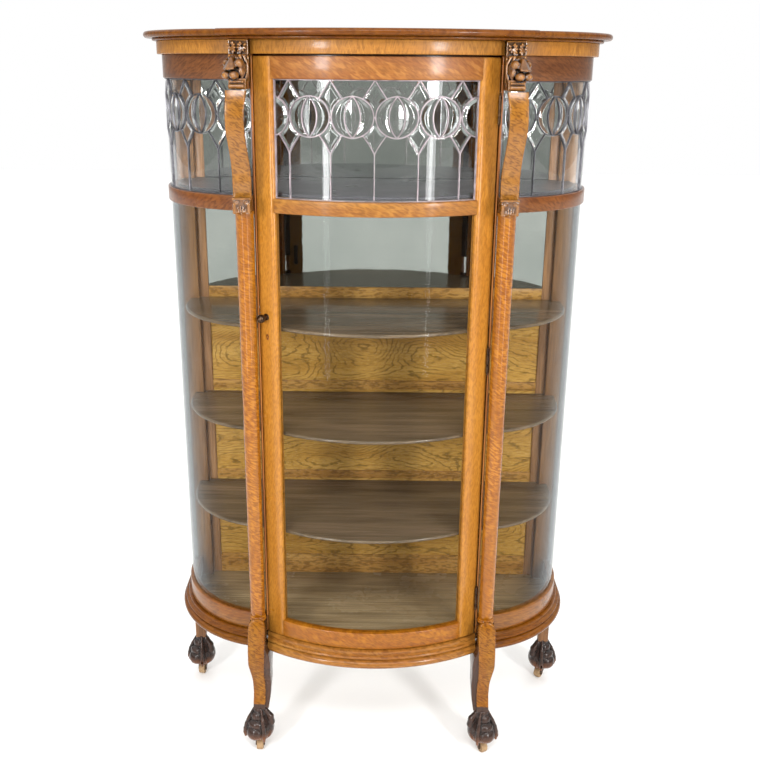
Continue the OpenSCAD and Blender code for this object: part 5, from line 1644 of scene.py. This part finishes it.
# ------------------------------------------------------------------ stage, light, camera
t = NT("pale_floor")
tc = t.n("ShaderNodeTexCoord").outputs["Object"]
n1 = t.noise(tc, 1.3, 3.0)
p = t.principled(Base_Color=t.ramp(n1, [(0.3, (0.86, 0.86, 0.86, 1)), (0.7, (0.90, 0.90, 0.90, 1))]), Roughness=0.75)
floor_mat = t.done(p)
bm = bmesh.new()
bmesh.ops.create_grid(bm, x_segments=8, y_segments=8, size=14.0)
me = bpy.data.meshes.new("floor")
bm.to_mesh(me)
bm.free()
me.materials.append(floor_mat)
floor = bpy.data.objects.new("floor", me)
bpy.context.scene.collection.objects.link(floor)

sc = bpy.context.scene
sc.view_settings.view_transform = "Standard"
w = bpy.data.worlds.new("studio")
sc.world = w
w.use_nodes = True
wt = w.node_tree
bg = wt.nodes["Background"]


def wmap(v, a, b, c, d):
    m = wt.nodes.new("ShaderNodeMapRange")
    m.interpolation_type = "SMOOTHSTEP"
    wt.links.new(v, m.inputs[0])
    for i, q in enumerate((a, b, c, d)):
        m.inputs[i + 1].default_value = q
    return m.outputs[0]


def wmix(fac, a, b):
    m = wt.nodes.new("ShaderNodeMix")
    m.data_type = "RGBA"
    wt.links.new(fac, m.inputs[0])
    for sock, q in ((m.inputs[6], a), (m.inputs[7], b)):
        if hasattr(q, "is_linked"):
            wt.links.new(q, sock)
        else:
            sock.default_value = q
    return m.outputs[2]


# the room as the cabinet sees it: grey in front, darker at the sides, white behind and overhead
wc = wt.nodes.new("ShaderNodeTexCoord")
ws = wt.nodes.new("ShaderNodeSeparateXYZ")
wt.links.new(wc.outputs["Generated"], ws.inputs[0])
wa = wt.nodes.new("ShaderNodeMath")
wa.operation = "ABSOLUTE"
wt.links.new(ws.outputs[0], wa.inputs[0])
room = wmix(wmap(wa.outputs[0], 0.55, 0.9, 0, 1), (0.46, 0.47, 0.445, 1), (0.36, 0.36, 0.35, 1))
room = wmix(wmap(ws.outputs[2], 0.24, 0.44, 0, 1), room, (1.45, 1.45, 1.43, 1))
room = wmix(wmap(ws.outputs[1], 0.80, 0.92, 0, 1), room, (1.0, 1.0, 1.0, 1))
lp = wt.nodes.new("ShaderNodeLightPath")
room = wmix(lp.outputs["Is Camera Ray"], room, (1.0, 1.0, 1.0, 1))
wt.links.new(room, bg.inputs[0])
bg.inputs[1].default_value = 1.0


def area(name, loc, target, size, power, col=(1, 1, 1)):
    L = bpy.data.lights.new(name, "AREA")
    L.shape = "RECTANGLE"
    L.size, L.size_y = size
    L.energy = power
    L.color = col
    o = bpy.data.objects.new(name, L)
    sc.collection.objects.link(o)
    o.location = loc
    o.rotation_euler = (Vector(target) - Vector(loc)).to_track_quat("-Z", "Y").to_euler()
    return o


area("softbox_left", (-1.42, -2.65 + D2, 1.95), (-0.10, -0.43 + D2, 1.40), (0.34, 0.7), 38)
area("softbox_right", (1.60, -2.65 + D2, 1.85), (0.10, -0.43 + D2, 1.40), (0.34, 0.9), 46)
area("strip_left", (-1.40, -2.70 + D2, 1.00), (-0.20, -0.43 + D2, 0.95), (0.18, 1.7), 9)
area("strip_right", (1.56, -2.70 + D2, 1.00), (0.20, -0.43 + D2, 0.95), (0.18, 1.7), 9)
area("softbox_top", (0.0, -2.25 + D2, 2.80), (0.0, -0.45 + D2, 1.15), (1.7, 0.42), 30)

cam = bpy.data.cameras.new("camera")
co = bpy.data.objects.new("camera", cam)
sc.collection.objects.link(co)
yaw, pitch_, roll = -0.0101, -0.3215, 0.007
fwd = Vector((math.sin(yaw) * math.cos(pitch_), math.cos(yaw) * math.cos(pitch_), math.sin(pitch_)))
right = Vector((math.cos(yaw), -math.sin(yaw), 0))
upv = right.cross(fwd)
r2 = right * math.cos(roll) + upv * math.sin(roll)
u2 = -right * math.sin(roll) + upv * math.cos(roll)
mw = Matrix((r2, u2, -fwd)).transposed().to_4x4()
mw.translation = Vector((0.0039, -2.4717 + D2, 1.7073))
co.matrix_world = mw
cam.sensor_fit = "HORIZONTAL"
cam.sensor_width = 36.0
cam.lens = 36.0 * 949.06 / 760.0
cam.shift_x = (380.0 - 366.56) / 760.0
cam.shift_y = (382.49 - 380.0) / 760.0
cam.clip_start = 0.05
cam.clip_end = 60
sc.camera = co

bpy.context.view_layer.update()
